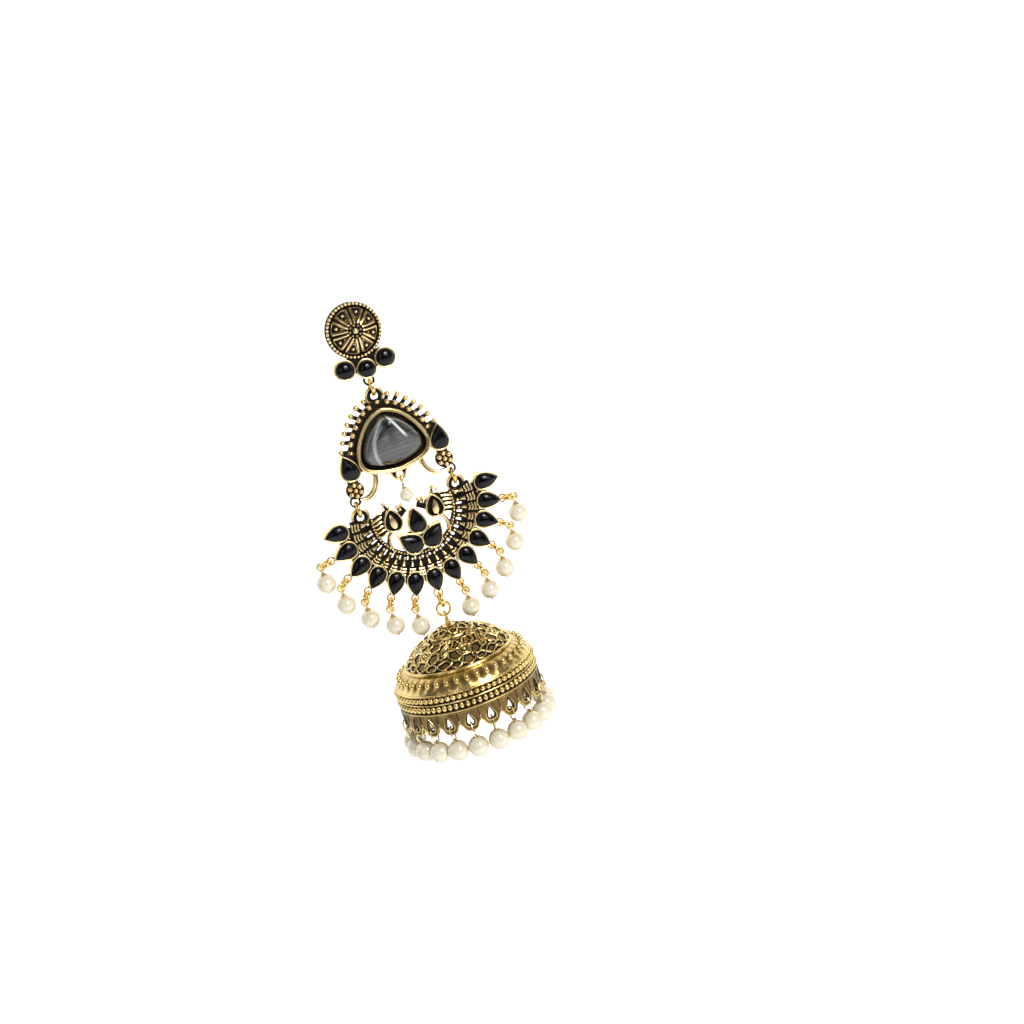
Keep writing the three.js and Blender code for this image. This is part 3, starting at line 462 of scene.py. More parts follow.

# %% [markdown]
# ## Black glass, cat's-eye glass and pearl
# The black stones are opaque glass, so they are all gloss: a near-black base with a faint
# mottling. The cat's-eye is fibre glass: fibres lie across the stone, and they gather the light
# into a pale line, which is painted on as a sheen. Both are drawn on the stone by its Object
# coordinates. The pearls have a cream body and a clear lacquer, which is the coat of the Principled
# shader; towards their outline they are painted darker and yellower, a painted shade and a painted
# reflection of the gold.

# %% Stones and pearls
def build_black_glass():
    finish, tree, shader = new_finish("black_glass")
    cloud = ramp(tree, noise(tree, 500), 0.4, 0.7)
    tree.links.new(mixed(tree, cloud, (0.001, 0.001, 0.002, 1), (0.005, 0.005, 0.006, 1)),
                   shader.inputs["Base Color"])
    tree.links.new(ramp(tree, noise(tree, 900), 0.3, 0.8, 0.12, 0.2), shader.inputs["Roughness"])
    set_inputs(shader, {"IOR": 1.37})
    return finish


def build_pearl():
    finish, tree, shader = new_finish("pearl")
    cloud = ramp(tree, noise(tree, 420, 2.0), 0.35, 0.7)
    body = mixed(tree, cloud, (0.93, 0.86, 0.67, 1), (0.89, 0.8, 0.58, 1))
    # Painted shade and reflection: the pearl turns darker and yellower towards its outline, as if
    # its edge lay in shade and mirrored the gold.
    rim = tree.nodes.new("ShaderNodeLayerWeight")
    set_inputs(rim, {"Blend": 0.35})
    edge = ramp(tree, rim.outputs["Facing"], 0.12, 0.75, 0.0, 1.0)
    tree.links.new(mixed(tree, edge, body, (0.6, 0.44, 0.11, 1)), shader.inputs["Base Color"])
    tree.links.new(ramp(tree, noise(tree, 4200), 0.3, 0.8, 0.16, 0.24), shader.inputs["Roughness"])
    set_inputs(shader, {"Coat Weight": 1.0, "Coat Roughness": 0.17, "Coat IOR": 1.9,
                        "Subsurface Weight": 0.1, "Subsurface Radius": (0.0012, 0.0009, 0.0006),
                        "Subsurface Scale": 1.0})
    return finish


black_glass = build_black_glass()
pearl_coat = build_pearl()

# %% [markdown]
# ## Black stones
# A black stone has a girdle that sits in its cup and a low dome. One face is extruded upward and
# drawn in each time along a quarter circle, so that the key light lies on it as one soft spot.

# %% Black stones
CUP_FLOOR = 0.9
CUP_WALL = 0.36


def cut_stone(name, body, outline, rim, rise, x, z, lean):
    casting = bmesh.new()
    part = bmesh.new()
    seat = shrunk(outline, CUP_WALL + 0.03)
    face = part.faces.new([part.verts.new(spot(a, b, CUP_FLOOR + 0.1)) for a, b in seat])
    keep = True
    steps = [(cos(radians(t)), sin(radians(t))) for t in (12, 26, 40, 54, 67, 79)]
    for share, high in [(1.0, 0.0)] + steps:
        out = rim - 0.12 + (rise + 0.1) * high
        face, moved = pull(part, face, keep)
        for vert, (a, b) in zip(sorted(moved, key=lambda v: atan2(v.co.x, v.co.z)),
                                sorted(seat, key=lambda p: atan2(p[0], p[1]))):
            vert.co = spot(a * share, b * share, out)
        keep = False
    add(casting, part, 0.0, x, z, lean)
    finish_piece(casting, "cut_" + name, body, black_glass, "black_glass", name)


# %% [markdown]
# ## The ear stud
# A disc with a beaded rim, a groove, and a low dome with eight double rays like an umbrella. The
# disc is turned on the lathe, the rim is a ring of grains, and each ray is two rods that follow
# the dome. Three round cups for the black stones hang below it.

# %% Ear stud
STUD_FIELD = 4.85
STUD_LUG = -10.5


def dome(r):
    return 1.4 + 1.9 * max(0.0, 1 - (r / STUD_FIELD) ** 2)


def on_dome(r, angle, lift, aside=0.0):
    a = radians(angle)
    x, z = r * sin(a) + aside * cos(a), r * cos(a) - aside * sin(a)
    return spot(x, z, dome(hypot(x, z)) + lift)


def stud_tone(co):
    r = hypot(co.x, co.z)
    return 0.78 if r < 4.5 else 1.3


stud = bmesh.new()
stud_add = adder(stud, 0.0)
profile = [(0, 0), (5.6, 0), (5.75, 0.2), (5.75, 1.35), (5.55, 1.6), (5.2, 1.6), (5.0, 1.25),
           (4.85, 1.25)] + [(r, dome(r)) for r in (4.75, 4.2, 3.5, 2.8, 2.1, 1.4, 0.7, 0)]
stud_add(lathe(profile, 72, forward=True), stud_tone)
stud_add(grains([(5.35 * x, 5.35 * z, 1.62) for x, z in circle(1, 44)], 0.35), BRIGHT)
stud_add(grains([(0, 0, dome(0) + 0.1)], 0.6, fine=3), BRIGHT)
stud_add(grains([(1.12 * x, 1.12 * z, dome(1.1) + 0.05) for x, z in circle(1, 8)], 0.2), 0.2)
for k in range(8):
    middle = 22.5 + 45 * k
    for aside in (-0.36, 0.36):
        ray = [on_dome(r, 45 * k, 0.17, aside * (0.78 + r / 9)) for r in (1.45, 2.4, 3.5, 4.6)]
        stud_add(rod(ray, 0.22), BRIGHT)
    stud_add(grains([tuple(on_dome(3.75, middle, 0.12).xz) + (dome(3.75) + 0.1,)], 0.34), BRIGHT)
    stud_add(grains([tuple(on_dome(2.75, middle, 0.1).xz) + (dome(2.75) + 0.02,)], 0.17), 0.3)
    for aside in (-1, 1):
        vein = [on_dome(r, middle, lift, aside * out)
                for r, lift, out in ((2.1, 0.02, 0.12), (3.3, 0.02, 0.6), (4.5, 0.04, 1.1))]
        stud_add(rod(vein, 0.1, 6), 0.5)
    vein = [on_dome(r, middle, 0.04, out) for r, out in ((4.5, -1.1), (4.6, 0.0), (4.5, 1.1))]
    stud_add(rod(vein, 0.1, 6), 0.5)
stud_cups = {"left": (-4.3, -7.0, 2.2), "middle": (0, -8.0, 2.1), "right": (4.3, -7.0, 2.2)}
web = [(-4.3, -5), (4.3, -5), (4.3, -7.6), (0, -9.2), (-4.3, -7.6)]
stud_add(plate(web, 0.15, 1.3), OXIDE)
for name, (x, z, radius) in stud_cups.items():
    stud_add(plate(circle(radius, 40), 0, 2.1, 0.12, CUP_WALL, CUP_FLOOR), bezel(2.1), x, z)
    cut_stone("stud_stone_" + name, "stud", circle(radius, 28), 2.1, 0.95, x, z, 15)
stud_add(washer(0.78, 1.2, 0.1, 0.7), OXIDE, 0, STUD_LUG)
plain_backs(stud)
finish_piece(stud, "stud_casting", "stud", antique_gold, "antique_gold", "stud_frame")

post = bmesh.new()
shaft = lathe([(0, 0.1), (0.4, 0.1), (0.4, 10.8), (0.3, 11.05), (0, 11.1)], 24, forward=True)
bmesh.ops.rotate(shaft, verts=shaft.verts, matrix=Matrix.Rotation(pi, 3, "Z"))
add(post, shaft)
finish_piece(post, "straight_post", "stud", pale_gold, "antique_gold", "ear_post")

# %% [markdown]
# ## Jump rings
# Each joint is an oval ring of round wire through two holes, seen edge-on from the front. The
# places are the solids' own: a ring hangs on the lower edge of the hole above it.

# %% Jump rings
HOLE, SEAT, WIRE = 0.66, 0.2, 0.3
BOLD = 0.12
HANG_Y = -0.35


def jump_ring(name, body, x, z, lower, length, lean=0.0):
    """Model the ring below a hole and give the centre of the hole that it carries."""
    down = Vector((sin(radians(lean)), -cos(radians(lean))))
    centre = HOLE - SEAT - 2 * WIRE + length / 2
    after = centre + length / 2 - 2 * WIRE - SEAT + lower
    ring = bmesh.new()
    loop = oval(3.7 + 2 * BOLD, length + 2 * BOLD, WIRE + BOLD)
    add(ring, loop, BRIGHT, x + down.x * centre, z + down.y * centre, -lean, HANG_Y)
    finish_piece(ring, "wire_" + name, body, ring_gold, "antique_gold", name)
    return x + down.x * after, z + down.y * after


kite_z = jump_ring("stud_link", "stud_ring", 0, STUD_LUG, 0.8, 3.5)[1]
print("pendant hangs at", round(kite_z, 2))

# %% [markdown]
# ## The cat's-eye pendant
# A shield-shaped bezel with a stout wire on its edge, a black groove, and a spray of balls on its
# shoulders. The bezel is one outline: extruded as a wall, and followed by the wire. The balls
# stand on spikes; a second and a third row of smaller balls fills the black ground between them.

# %% Pendant casting
half = [(0, 0), (0.13, 0.02), (0.29, 0.06), (0.5, 0.145), (0.7, 0.28), (0.87, 0.44), (0.975, 0.59),
        (1, 0.69), (0.96, 0.79), (0.85, 0.87), (0.62, 0.935), (0.3, 0.98), (0, 1)]
right = bent([(a * 7.8, -2.5 - d * 13.4) for a, d in half], 4)
shield = right + [(-x, z) for x, z in reversed(right[1:-1])]
outer_balls = [(2.6, -0.4), (4.5, -1.15), (5.95, -2.45), (7.25, -3.8), (8.35, -5.3), (9.3, -7.0),
               (10.15, -8.85)]
spike_roots = [(1.6, -2.2), (2.9, -2.9), (4.1, -3.8), (5.3, -4.9), (6.3, -6.1), (7.1, -7.6),
               (7.7, -9.4)]
middle_balls = [(2.0, -1.65), (3.6, -2.4), (4.9, -3.45), (5.95, -4.6), (7.1, -5.95), (8.15, -7.55)]

kite = bmesh.new()
kite_add = adder(kite, kite_z)
kite_add(plate(shield, 0, 2.9, 0.15, 0.75, 1.0), 0.3)
kite_add(plate(shrunk(shield, 0.7), 1.0, 1.35, 0), OXIDE)
kite_add(plate(shrunk(shield, 0.5), 1.2, 2.75, 0, 0.3, 1.2), OXIDE)
edge = [spot(x, z, 2.9) for x, z in shrunk(shield, 0.24)]
kite_add(wire(edge, 0.29, closed=True, sides=10), BRIGHT)
apron = [(0, -0.6), (1.7, -1.3), (2.5, -1.7), (3.6, -2.3), (4.8, -3.3), (5.9, -4.4), (6.9, -5.7),
         (7.8, -7.2), (8.5, -8.6), (9.3, -9.6), (7.2, -10.4), (5.5, -7.6), (0, -4.4)]
kite_add(plate(apron, 0.12, 1.25), OXIDE, both=True)
for (x, z), (u, v) in zip(outer_balls, spike_roots):
    kite_add(wire([spot(u, v, 0.8), spot(x, z, 0.65)], [0.5, 0.4]), OXIDE, both=True)
kite_add(grains([(x, z, 0.75) for x, z in outer_balls], 0.63, fine=3), BRIGHT, both=True)
middle_row = [(x * 0.96, z - 0.25, 1.45) for x, z in middle_balls]
kite_add(grains(middle_row, 0.58, fine=3), BRIGHT, both=True)
kite_add(grains([(0, -1.35, 1.35)], 0.5, fine=3), BRIGHT)
inner_row = [(0.62 * a[0] + 0.38 * b[0], 0.62 * a[1] + 0.38 * b[1])
             for a, b in zip(spike_roots, outer_balls)]
kite_add(grains([(x * 0.965, z - 0.25, 1.5) for x, z in inner_row], 0.46), BRIGHT, both=True)


def eye_rim():
    """The bright wire on the rim of a large lug."""
    return wire([spot(x, z, 0.62) for x, z in circle(1.74, 40)], 0.26, closed=True)


kite_add(washer(0.8, 2.0, 0.2, 0.7, 40), OXIDE)
kite_add(eye_rim(), BRIGHT)
kite_add(plate([(-1.5, -1), (-2.1, -3.4), (2.1, -3.4), (1.5, -1)], 0.28, 0.7), OXIDE)

# %% Pendant's cups, flowers and hoops
for side, title in ((-1, "left"), (1, "right")):
    cup = plate(pear(4.2, 5.9), 0, 2.3, 0.12, CUP_WALL, CUP_FLOOR)
    kite_add(cup, bezel(2.3), side * 9.85, -12.1, side * 10)
    cut_stone("kite_stone_" + title, "pendant", pear(4.2, 5.9, 28), 2.3, 0.85,
              side * 9.85, kite_z - 12.1, side * 10)
shoulder = [(7.2, -9.7), (6.9, -13.9), (9.85, -13.3), (10.3, -9.6), (9.3, -8.6)]
waist = [(8.7, -14.1), (8.7, -16), (10.9, -16), (10.9, -14.1)]
bridge = [(8.9, -18), (9.6, -18.6), (11.4, -18.6), (10.9, -18)]
for outline, back, front in ((shoulder, 0.16, 1.3), (waist, 0.2, 1.3), (bridge, 0.24, 0.7)):
    kite_add(plate(outline, back, front), OXIDE, both=True)
FLOWER = (9.8, -17.0)
kite_add(plate(circle(1.85, 28), 0, 1.25, 0.25), OXIDE, *FLOWER, both=True)
petals_of_flower = [(1.16 * x, 1.16 * z, 1.4) for x, z in circle(1, 6)] + [(0, 0, 1.5)]
kite_add(grains(petals_of_flower, 0.5, fine=3), BRIGHT, *FLOWER, both=True)
kite_add(grains([(10.35, -18.3, 0.8)], 0.32), BRIGHT, both=True)
hoop = bent([(4.99, -15.2), (5.16, -16.5), (5.76, -17.8), (6.86, -18.85), (8.2, -19.4),
             (9.45, -19.45)], 4)
kite_add(plate(strip(hoop, 0.9), 0.08, 1.5, 0.12), 0.7, both=True)
for aside in (-0.26, 0.26):
    rail = strip(hoop, abs(2 * aside))
    line = rail[:len(hoop)] if aside < 0 else rail[len(hoop):][::-1]
    kite_add(wire([spot(x, z, 1.55) for x, z in line], 0.26), BRIGHT, both=True)
SIDE_LUG = (10.5, -19.35)
kite_add(washer(0.78, 1.15, 0.14, 0.7), OXIDE, *SIDE_LUG, both=True)
turns = [radians(-90 + 9 * i) for i in range(21)]
lobe = [(1.85 * sin(t), -15.4 - 2.8 * cos(t)) for t in turns]
ground = lobe[::-1] + [(-0.9, -15.3), (0, -15.3), (0.9, -15.3)]
EYELET = -16.94
eyelet = [(0.66 * x, EYELET + 0.66 * z) for x, z in circle(1, 24)]
kite_add(holed(ground, eyelet, 0.1, 0.6), OXIDE)
kite_add(wire([spot(x * 0.93, z + 0.12, 0.55) for x, z in lobe], 0.27), BRIGHT)
rim = [spot(1.2 * x, 1.2 * (z - EYELET) + EYELET, 0.6) for x, z in eyelet]
kite_add(wire(rim, 0.16, closed=True), BRIGHT)
plain_backs(kite)
finish_piece(kite, "pendant_casting", "pendant", antique_gold, "antique_gold", "kite_frame")

# %% [markdown]
# ## The cat's-eye stone
# A high cabochon whose peak lies near its point. It starts as the shield's outline, and each
# extrusion draws the top towards the peak. The glass holds fibres that run across it: stretched
# noise makes their fine streaks. Two soft lines from the peak are painted light: a pale band, the
# painted sheen of the fibres, and a white streak, a painted highlight. A dark line runs between
# them, and the left flank is painted a lighter grey, as a side that catches the light.

# %% Cat's-eye stone
PEAK = (0.35, -5.6)


def build_cats_eye():
    finish, tree, shader = new_finish("cats_eye")
    place = tree.nodes.new("ShaderNodeSeparateXYZ")
    tree.links.new(tree.nodes.new("ShaderNodeTexCoord").outputs["Object"], place.inputs[0])
    across = math_node(tree, "MULTIPLY", place.outputs["X"], 1000.0)
    height = math_node(tree, "MULTIPLY", place.outputs["Z"], 1000.0)
    fibres = ramp(tree, noise(tree, 1.0, 4.0, (140.0, 140.0, 2300.0)), 0.4, 0.68)
    cloud = ramp(tree, noise(tree, 190, 2.0), 0.35, 0.7)
    body = mixed(tree, cloud, (0.036, 0.036, 0.031, 1), (0.018, 0.018, 0.015, 1))
    body = mixed(tree, math_node(tree, "MULTIPLY", fibres, 0.35), body, (0.2, 0.2, 0.19, 1))
    # Painted light: the stone's left flank is painted a lighter grey, as a side that catches the
    # light.
    left = ramp(tree, across, -3.0, -5.5, 0.0, 0.5)
    body = mixed(tree, left, body, (0.19, 0.19, 0.18, 1))
    slanted = math_node(tree, "SUBTRACT", across, math_node(tree, "MULTIPLY", height, 0.2))
    right = ramp(tree, slanted, 7.0, 11.5, 0.0, 0.8)
    body = mixed(tree, right, body, (0.06, 0.055, 0.03, 1))
    # Lines drawn on the stone: first a pale band, the painted sheen of the fibres; then a dark line;
    # last a white streak, a painted highlight.
    lines = (
        (-4.1, -24.5, 0.0, 0.085, -17.8, -29.0, 0.55, 0.75, (0.5, 0.52, 0.54, 1)),
        (-0.3, -19.0, -0.12, 0.0, -18.4, -24.8, 1.05, 0.95, (0.006, 0.012, 0.012, 1)),
        (0.5, -18.3, -0.52, 0.0, -17.9, -23.4, 0.42, 0.9, (0.95, 0.95, 0.95, 1)))
    for x0, z0, slope, bow, top, low, wide, strength, colour in lines:
        rise = math_node(tree, "SUBTRACT", height, z0)
        bend = math_node(tree, "MULTIPLY", math_node(tree, "MULTIPLY", rise, rise), bow)
        centre = math_node(tree, "ADD", math_node(tree, "MULTIPLY", rise, slope), bend)
        off = math_node(tree, "SUBTRACT", math_node(tree, "SUBTRACT", across, x0), centre)
        off = math_node(tree, "ABSOLUTE", off)
        line = ramp(tree, off, wide, wide * 0.15, 0.0, strength)
        begins = ramp(tree, height, top + 0.2, top - 0.8)
        ends = ramp(tree, height, low, low + 1.2)
        share = math_node(tree, "MULTIPLY", math_node(tree, "MULTIPLY", line, begins), ends)
        body = mixed(tree, share, body, colour)
    tree.links.new(body, shader.inputs["Base Color"])
    tree.links.new(ramp(tree, fibres, 0, 1, 0.05, 0.12), shader.inputs["Roughness"])
    set_inputs(shader, {"Coat Weight": 1.0, "Coat Roughness": 0.03, "IOR": 1.5})
    return finish


cats_eye = build_cats_eye()
stone = bmesh.new()
part = bmesh.new()
base = shrunk(shield, 1.6)
face = part.faces.new([part.verts.new(spot(x, z, 1.4)) for x, z in base])
keep = True
for k in range(0, 9):
    share = cos(radians(10.5 * k)) if k else 1.0
    out = 2.5 + 2.95 * sin(radians(10.5 * k))
    face, moved = pull(part, face, keep)
    drawn = 1 - share
    for vert, (x, z) in zip(sorted(moved, key=lambda v: atan2(v.co.x - PEAK[0], v.co.z - PEAK[1])),
                            sorted(base, key=lambda p: atan2(p[0] - PEAK[0], p[1] - PEAK[1]))):
        vert.co = spot(x + (PEAK[0] - x) * drawn, z + (PEAK[1] - z) * drawn, out)
    keep = False
add(stone, part, 0.0, z=kite_z)
finish_piece(stone, "cats_eye_cabochon", "pendant", cats_eye, "cats_eye", "cats_eye_stone")

# %% [markdown]
# ## Pearl beads
# Every pearl is a bead on a head pin: a small cap above it, a nub below it and a loop of wire. The
# bead is a turned half circle, and cap, loop and nub are a piece of their own, because they are
# metal.

# %% Pearl beads
def bead_profile(radius, steps=14):
    turns = [pi * i / steps for i in range(steps + 1)]
    return [(abs(radius * sin(t)), -radius * cos(t)) for t in turns]


def pearl_drop(name, body, node, x, z, radius, loop, thick, cap, cap_height, face_on):
    """A loop round (x, z) and the pearl that hangs from it."""
    bead = bmesh.new()
    top = z - loop + thick
    add(bead, lathe(bead_profile(radius), 28), PLAIN, x, top - cap_height - radius, y=HANG_Y)
    finish_piece(bead, name + "_bead", body, pearl_coat, "pearl", node)
    metal = bmesh.new()
    add(metal, oval(2 * loop, 2 * loop, thick, face_on), BRIGHT, x, z, y=HANG_Y)
    collar = [(0, 0.02), (cap * 0.5, 0), (cap * 0.42, -cap_height * 0.45),
              (cap * 0.62, -cap_height * 0.7), (cap, -cap_height * 0.97),
              (cap * 0.9, -cap_height * 1.1), (0, -cap_height * 1.1)]
    add(metal, lathe(collar, 18), 0.25, x, top, y=HANG_Y)
    low = top - cap_height - 2 * radius
    nub = [(0, 0.1), (cap * 0.45, 0.06), (cap * 0.42, -0.12), (cap * 0.2, -0.3), (0, -0.33)]
    add(metal, lathe(nub, 12), PLAIN, x, low, y=HANG_Y)
    finish_piece(metal, name + "_wire", body, pale_gold, "antique_gold", node)


pearl_drop("small_pearl", "pendant", "kite_pearl", 0, kite_z - 18.15,
           1.45, 1.15, 0.2, 0.6, 0.9, False)

# %% [markdown]
# ## The crescent fan
# The fan is the busiest casting. Its band is an inner strip, an outer strip and nineteen bars with
# open slots between them; on them lie a row of fine beads, a ball and a cone on each bar, and
# three bowed ridges on the rim. Outside the band stand thirteen pear-shaped cups like petals.

# %% Fan band
fan_z = jump_ring("side_link_right", "fan", SIDE_LUG[0], kite_z + SIDE_LUG[1], 0.8, 3.5)[1]
jump_ring("side_link_left", "fan", -SIDE_LUG[0], kite_z + SIDE_LUG[1], 0.8, 3.5)
band_z = fan_z - 2.5
petal_z = fan_z - 0.8
BARS = 19
PITCH = 180 / BARS


def polar(radius, angle, out=0.0):
    a = radians(angle)
    return spot(radius * sin(a), -radius * cos(a), out)


fan = bmesh.new()
fan_add, band_add, petal_add = (adder(fan, z) for z in (fan_z, band_z, petal_z))
band_add(plate(arc(8.4, 9.3, -100, 100, 48), 0.05, 1.3), SOOT)
band_add(plate(arc(10.7, 13.25, -100, 100, 48), 0.1, 1.3), SOOT)
band_add(plate(arc(11.5, 13.2, -97, 97, 48), 1.0, 1.6, 0.1), 1.5)
petal_add(plate(arc(11.7, 14.8, -88.2, 88.2, 48), 0.2, 1.25), SOOT)
for k in range(-1, BARS + 1):
    middle = -90 + PITCH * (k + 0.5)
    slot = degrees(0.275 / 10.0)
    if 0 <= k < BARS:
        bar = arc(9.2, 10.8, -PITCH / 2 + slot, PITCH / 2 - slot, 3)
        band_add(plate(bar, 0.15, 1.28), SOOT, lean=-middle)
    band_add(grains([(0, -9.72, 1.3)], 0.38), BRIGHT, lean=-middle)
    cone = wire([spot(0, -10.2, 1.4), spot(0, -10.35, 1.4), spot(0, -11.3, 1.45),
                 spot(0, -11.38, 1.45)], [0.08, 0.2, 0.5, 0.3], sides=12)
    band_add(cone, BRIGHT, lean=-middle)
    for radius, wide in ((11.72, 3.5), (12.36, 3.7), (13.0, 3.8)):
        bow = [polar(radius + 0.2 * (1 - (s / 2) ** 2), wide * s / 2, 1.85)
               for s in (-2, -1, 0, 1, 2)]
        band_add(rod(bow, 0.235), BRIGHT, lean=-middle)
turns = [radians(-98 + 196 * i / 46) for i in range(47)]
row = [(8.75 * sin(t), -8.75 * cos(t), 1.32) for t in turns]
band_add(grains(row, 0.25), BRIGHT)

# %% Fan petals and lotus
MIDDLE_PETAL = 6
drop_leans = [0, 15, 22, 33, 53, 79]
hangers = {}
for i in range(13):
    angle = (i - MIDDLE_PETAL) * 14.7
    middle = polar(16.55, angle)
    cup = plate(pear(3.85, 5.5, 36, 0.8), 0.03 * (i % 2), 2.2, 0.1, CUP_WALL * 0.85, CUP_FLOOR)
    petal_add(cup, bezel(2.2), middle.x, middle.z, 180 - angle)
    cut_stone(f"petal_stone_{i + 1}", "fan", pear(3.85, 5.5, 28, 0.8), 2.2, 0.75,
              middle.x, petal_z + middle.z, 180 - angle)
    if 0 < i < 12:
        tip = polar(19.9, angle)
        hole = 0.8 if i == MIDDLE_PETAL else 0.62
        petal_add(washer(hole, hole + 0.3, 0.12, 0.6, 24), 0.25, tip.x, tip.z)
        lean = copysign(drop_leans[abs(i - MIDDLE_PETAL)], i - MIDDLE_PETAL)
        hangers[i + 1] = (tip.x, petal_z + tip.z, lean)
    if i < 12:
        between = polar(14.35, angle + 7.35)
        petal_add(grains([(between.x, between.z, 1.3)], 0.3), BRIGHT)
lotus = {"top": (0, -4.2, 4.0, 5.9, 0, 0.08), "left": (-2.55, -8.15, 4.5, 6.0, -44, 0.0),
         "right": (2.55, -8.15, 4.5, 6.0, 44, 0.04)}
for name, (x, z, width, height, lean, back) in lotus.items():
    cup = plate(pear(width, height), back, 2.6, 0.12, CUP_WALL, CUP_FLOOR)
    fan_add(cup, bezel(2.6), x, z, lean)
    cut_stone("lotus_stone_" + name, "fan", pear(width, height, 28), 2.6, 0.85, x, fan_z + z, lean)

# %% Fan paisleys, feathers and eyes
PAISLEY = (4.6, -2.65)
fan_add(plate(pear(4.1, 5.2, 36, 0.5), 0.02, 2.05, 0.14, 0.4, 1.0), bezel(2.05), *PAISLEY, both=True)
fan_add(plate(pear(1.35, 3.3, 28), 0.8, 2.15, 0.3), PLAIN, PAISLEY[0] + 0.1, PAISLEY[1] - 0.1, 8,
        both=True)
feathers = [(5.2, -0.25), (5.0, -4.45), (8.7, -5.25), (8.9, -1.25)]
fan_add(plate(feathers, 0.2, 1.35), OXIDE, both=True)
crest = [(1.1, -1.8), (3.4, -3.35), (3.1, -1.85), (1.5, -0.95)]
fan_add(plate(crest, 0.25, 1.3), OXIDE, both=True)
quills = (((6.4, -1.2), (8.6, -1.75)), ((6.55, -2.1), (8.55, -2.55)), ((6.6, -3.0), (8.45, -3.4)),
          ((6.4, -3.9), (8.3, -4.25)), ((5.9, -4.75), (7.9, -5.2)), ((6.1, -0.45), (7.6, -0.35)),
          ((5.7, 0.15), (6.6, 0.75)), ((4.5, -0.1), (4.9, 0.6)))
for start, end in quills:
    fan_add(rod([spot(*start, 1.4), spot(*end, 1.4)], 0.26), BRIGHT, both=True)
for x, z, radius in ((5.35, 1.0, 0.45), (1.85, -0.35, 0.42), (2.75, -0.45, 0.42),
                     (2.3, -1.2, 0.42), (1.6, -1.6, 0.3)):
    fan_add(grains([(x, z, 0.85)], radius, fine=3), BRIGHT, both=True)
stems = (((4.9, -0.6), (5.35, 0.9)), ((2.2, -1.9), (1.85, -0.4)), ((2.4, -1.8), (2.75, -0.5)))
for start, end in stems:
    fan_add(plate(strip([start, end], 0.5), 0.3, 1.0), 0.9, both=True)
hook = bent([(4.8, -4.9), (5.7, -5.3), (6.35, -6.3), (6.45, -7.5), (6.1, -9.2)], 4)
fan_add(plate(strip(hook, 0.7), 0.22, 1.1), 0.8, both=True)
fan_add(wire([spot(x, z, 1.2) for x, z in hook], 0.27), BRIGHT, both=True)
fan_add(wire([spot(x, z, 1.0) for x, z in ((6.35, -6.9), (7.3, -7.1))], 0.4), 0.9, both=True)
horn = [(8.7, -0.9), (8.4, -2.9), (12.6, -2.9), (12.1, -0.9)]
fan_add(plate(horn, 0.26, 0.68), OXIDE, both=True)
fan_add(washer(0.8, 2.0, 0.16, 0.7, 40), OXIDE, 10.5, both=True)
fan_add(eye_rim(), BRIGHT, 10.5, both=True)
plain_backs(fan)
finish_piece(fan, "fan_casting", "fan", antique_gold, "antique_gold", "fan_frame")

# %% Fan pearls
for number, (x, z, lean) in hangers.items():
    if number != MIDDLE_PETAL + 1:
        px, pz = jump_ring(f"drop_link_{number}", "fan", x, z, 0.52, 2.8, lean)
        pearl_drop(f"pearl_{number}", "fan", f"fan_pearl_{number}", px, pz,
                   2.0, 1.0, 0.24, 0.75, 0.9, True)

# %% [markdown]
# ## The bell
# The dome is turned on the lathe. A scroll of wires lies on its dark ground: six flowers of cells
# with leaves between them, and small loops round the crown. Below come a polished, fluted flare
# with bosses, two rows of beads and a skirt of twenty-one lobes, each with a teardrop opening. One
# lobe is modelled flat and bent round the skirt; spin copies it, as it copies every bead.

# %% Bell dome
LOBES = 21
FLUTES = 39
x, z, lean = hangers[MIDDLE_PETAL + 1]
bell_z = jump_ring("bell_link", "bell", x, z, 1.15, 3.4)[1]
holder = bmesh.new()
add(holder, oval(3.5, 3.5, 0.3, True, 36), BRIGHT, 0, bell_z, y=HANG_Y)
finish_piece(holder, "round_ring", "bell", ring_gold, "antique_gold", "bell_ring")
loop_z = bell_z - 1.4208
crown = loop_z - 1.05 - 1.4
print("bell crown at", round(crown, 2))
slope = bent([(0.0, 0.0), (1.6, 0.2), (3.2, 0.72), (4.68, 1.4),
              (6.6, 2.3), (8.46, 3.4), (10.0, 4.75), (11.33, 6.35)], 3)
flare = bent([(11.55, 6.75), (12.5, 7.25), (13.4, 7.9), (14.3, 8.9), (14.8, 9.9)], 3)
skirt = [(14.75, 10.0), (14.85, 11.6), (14.85, 13.5), (15.1, 13.6), (15.1, 14.1), (14.3, 14.1)]
inside = [(14.2, 10.5), (13.0, 8.6), (10.6, 6.9), (8.0, 4.3), (4.3, 2.2), (0.0, 0.9)]


def fluted(r, depth):
    """How far a flute of the flare stands out, before it is shaped round the bell."""
    middle = 1 - abs(depth - 7.95) / 1.35
    return 0.18 * max(0.0, middle) if r > 11.4 else 0.0


def bell_tone(co):
    """Patina of the shell: its lower edge, its bead band, its flare and its dome.
    The grooves between the flare's flutes are painted darker, as painted shade.
    """
    r, depth = hypot(co.x, co.y), crown - co.z
    if depth > 13.55:
        return 0.95
    if depth > 9.85:
        return 1.2
    if depth > 6.4 or r > 11.2:
        # Painted shade: the grooves between the flutes of the flare are painted darker.
        groove_shade = 0.5 - 0.5 * cos(FLUTES * atan2(co.x, -co.y))
        return 0.15 + 3.0 * fluted(r, depth) * groove_shade
    return 0.52


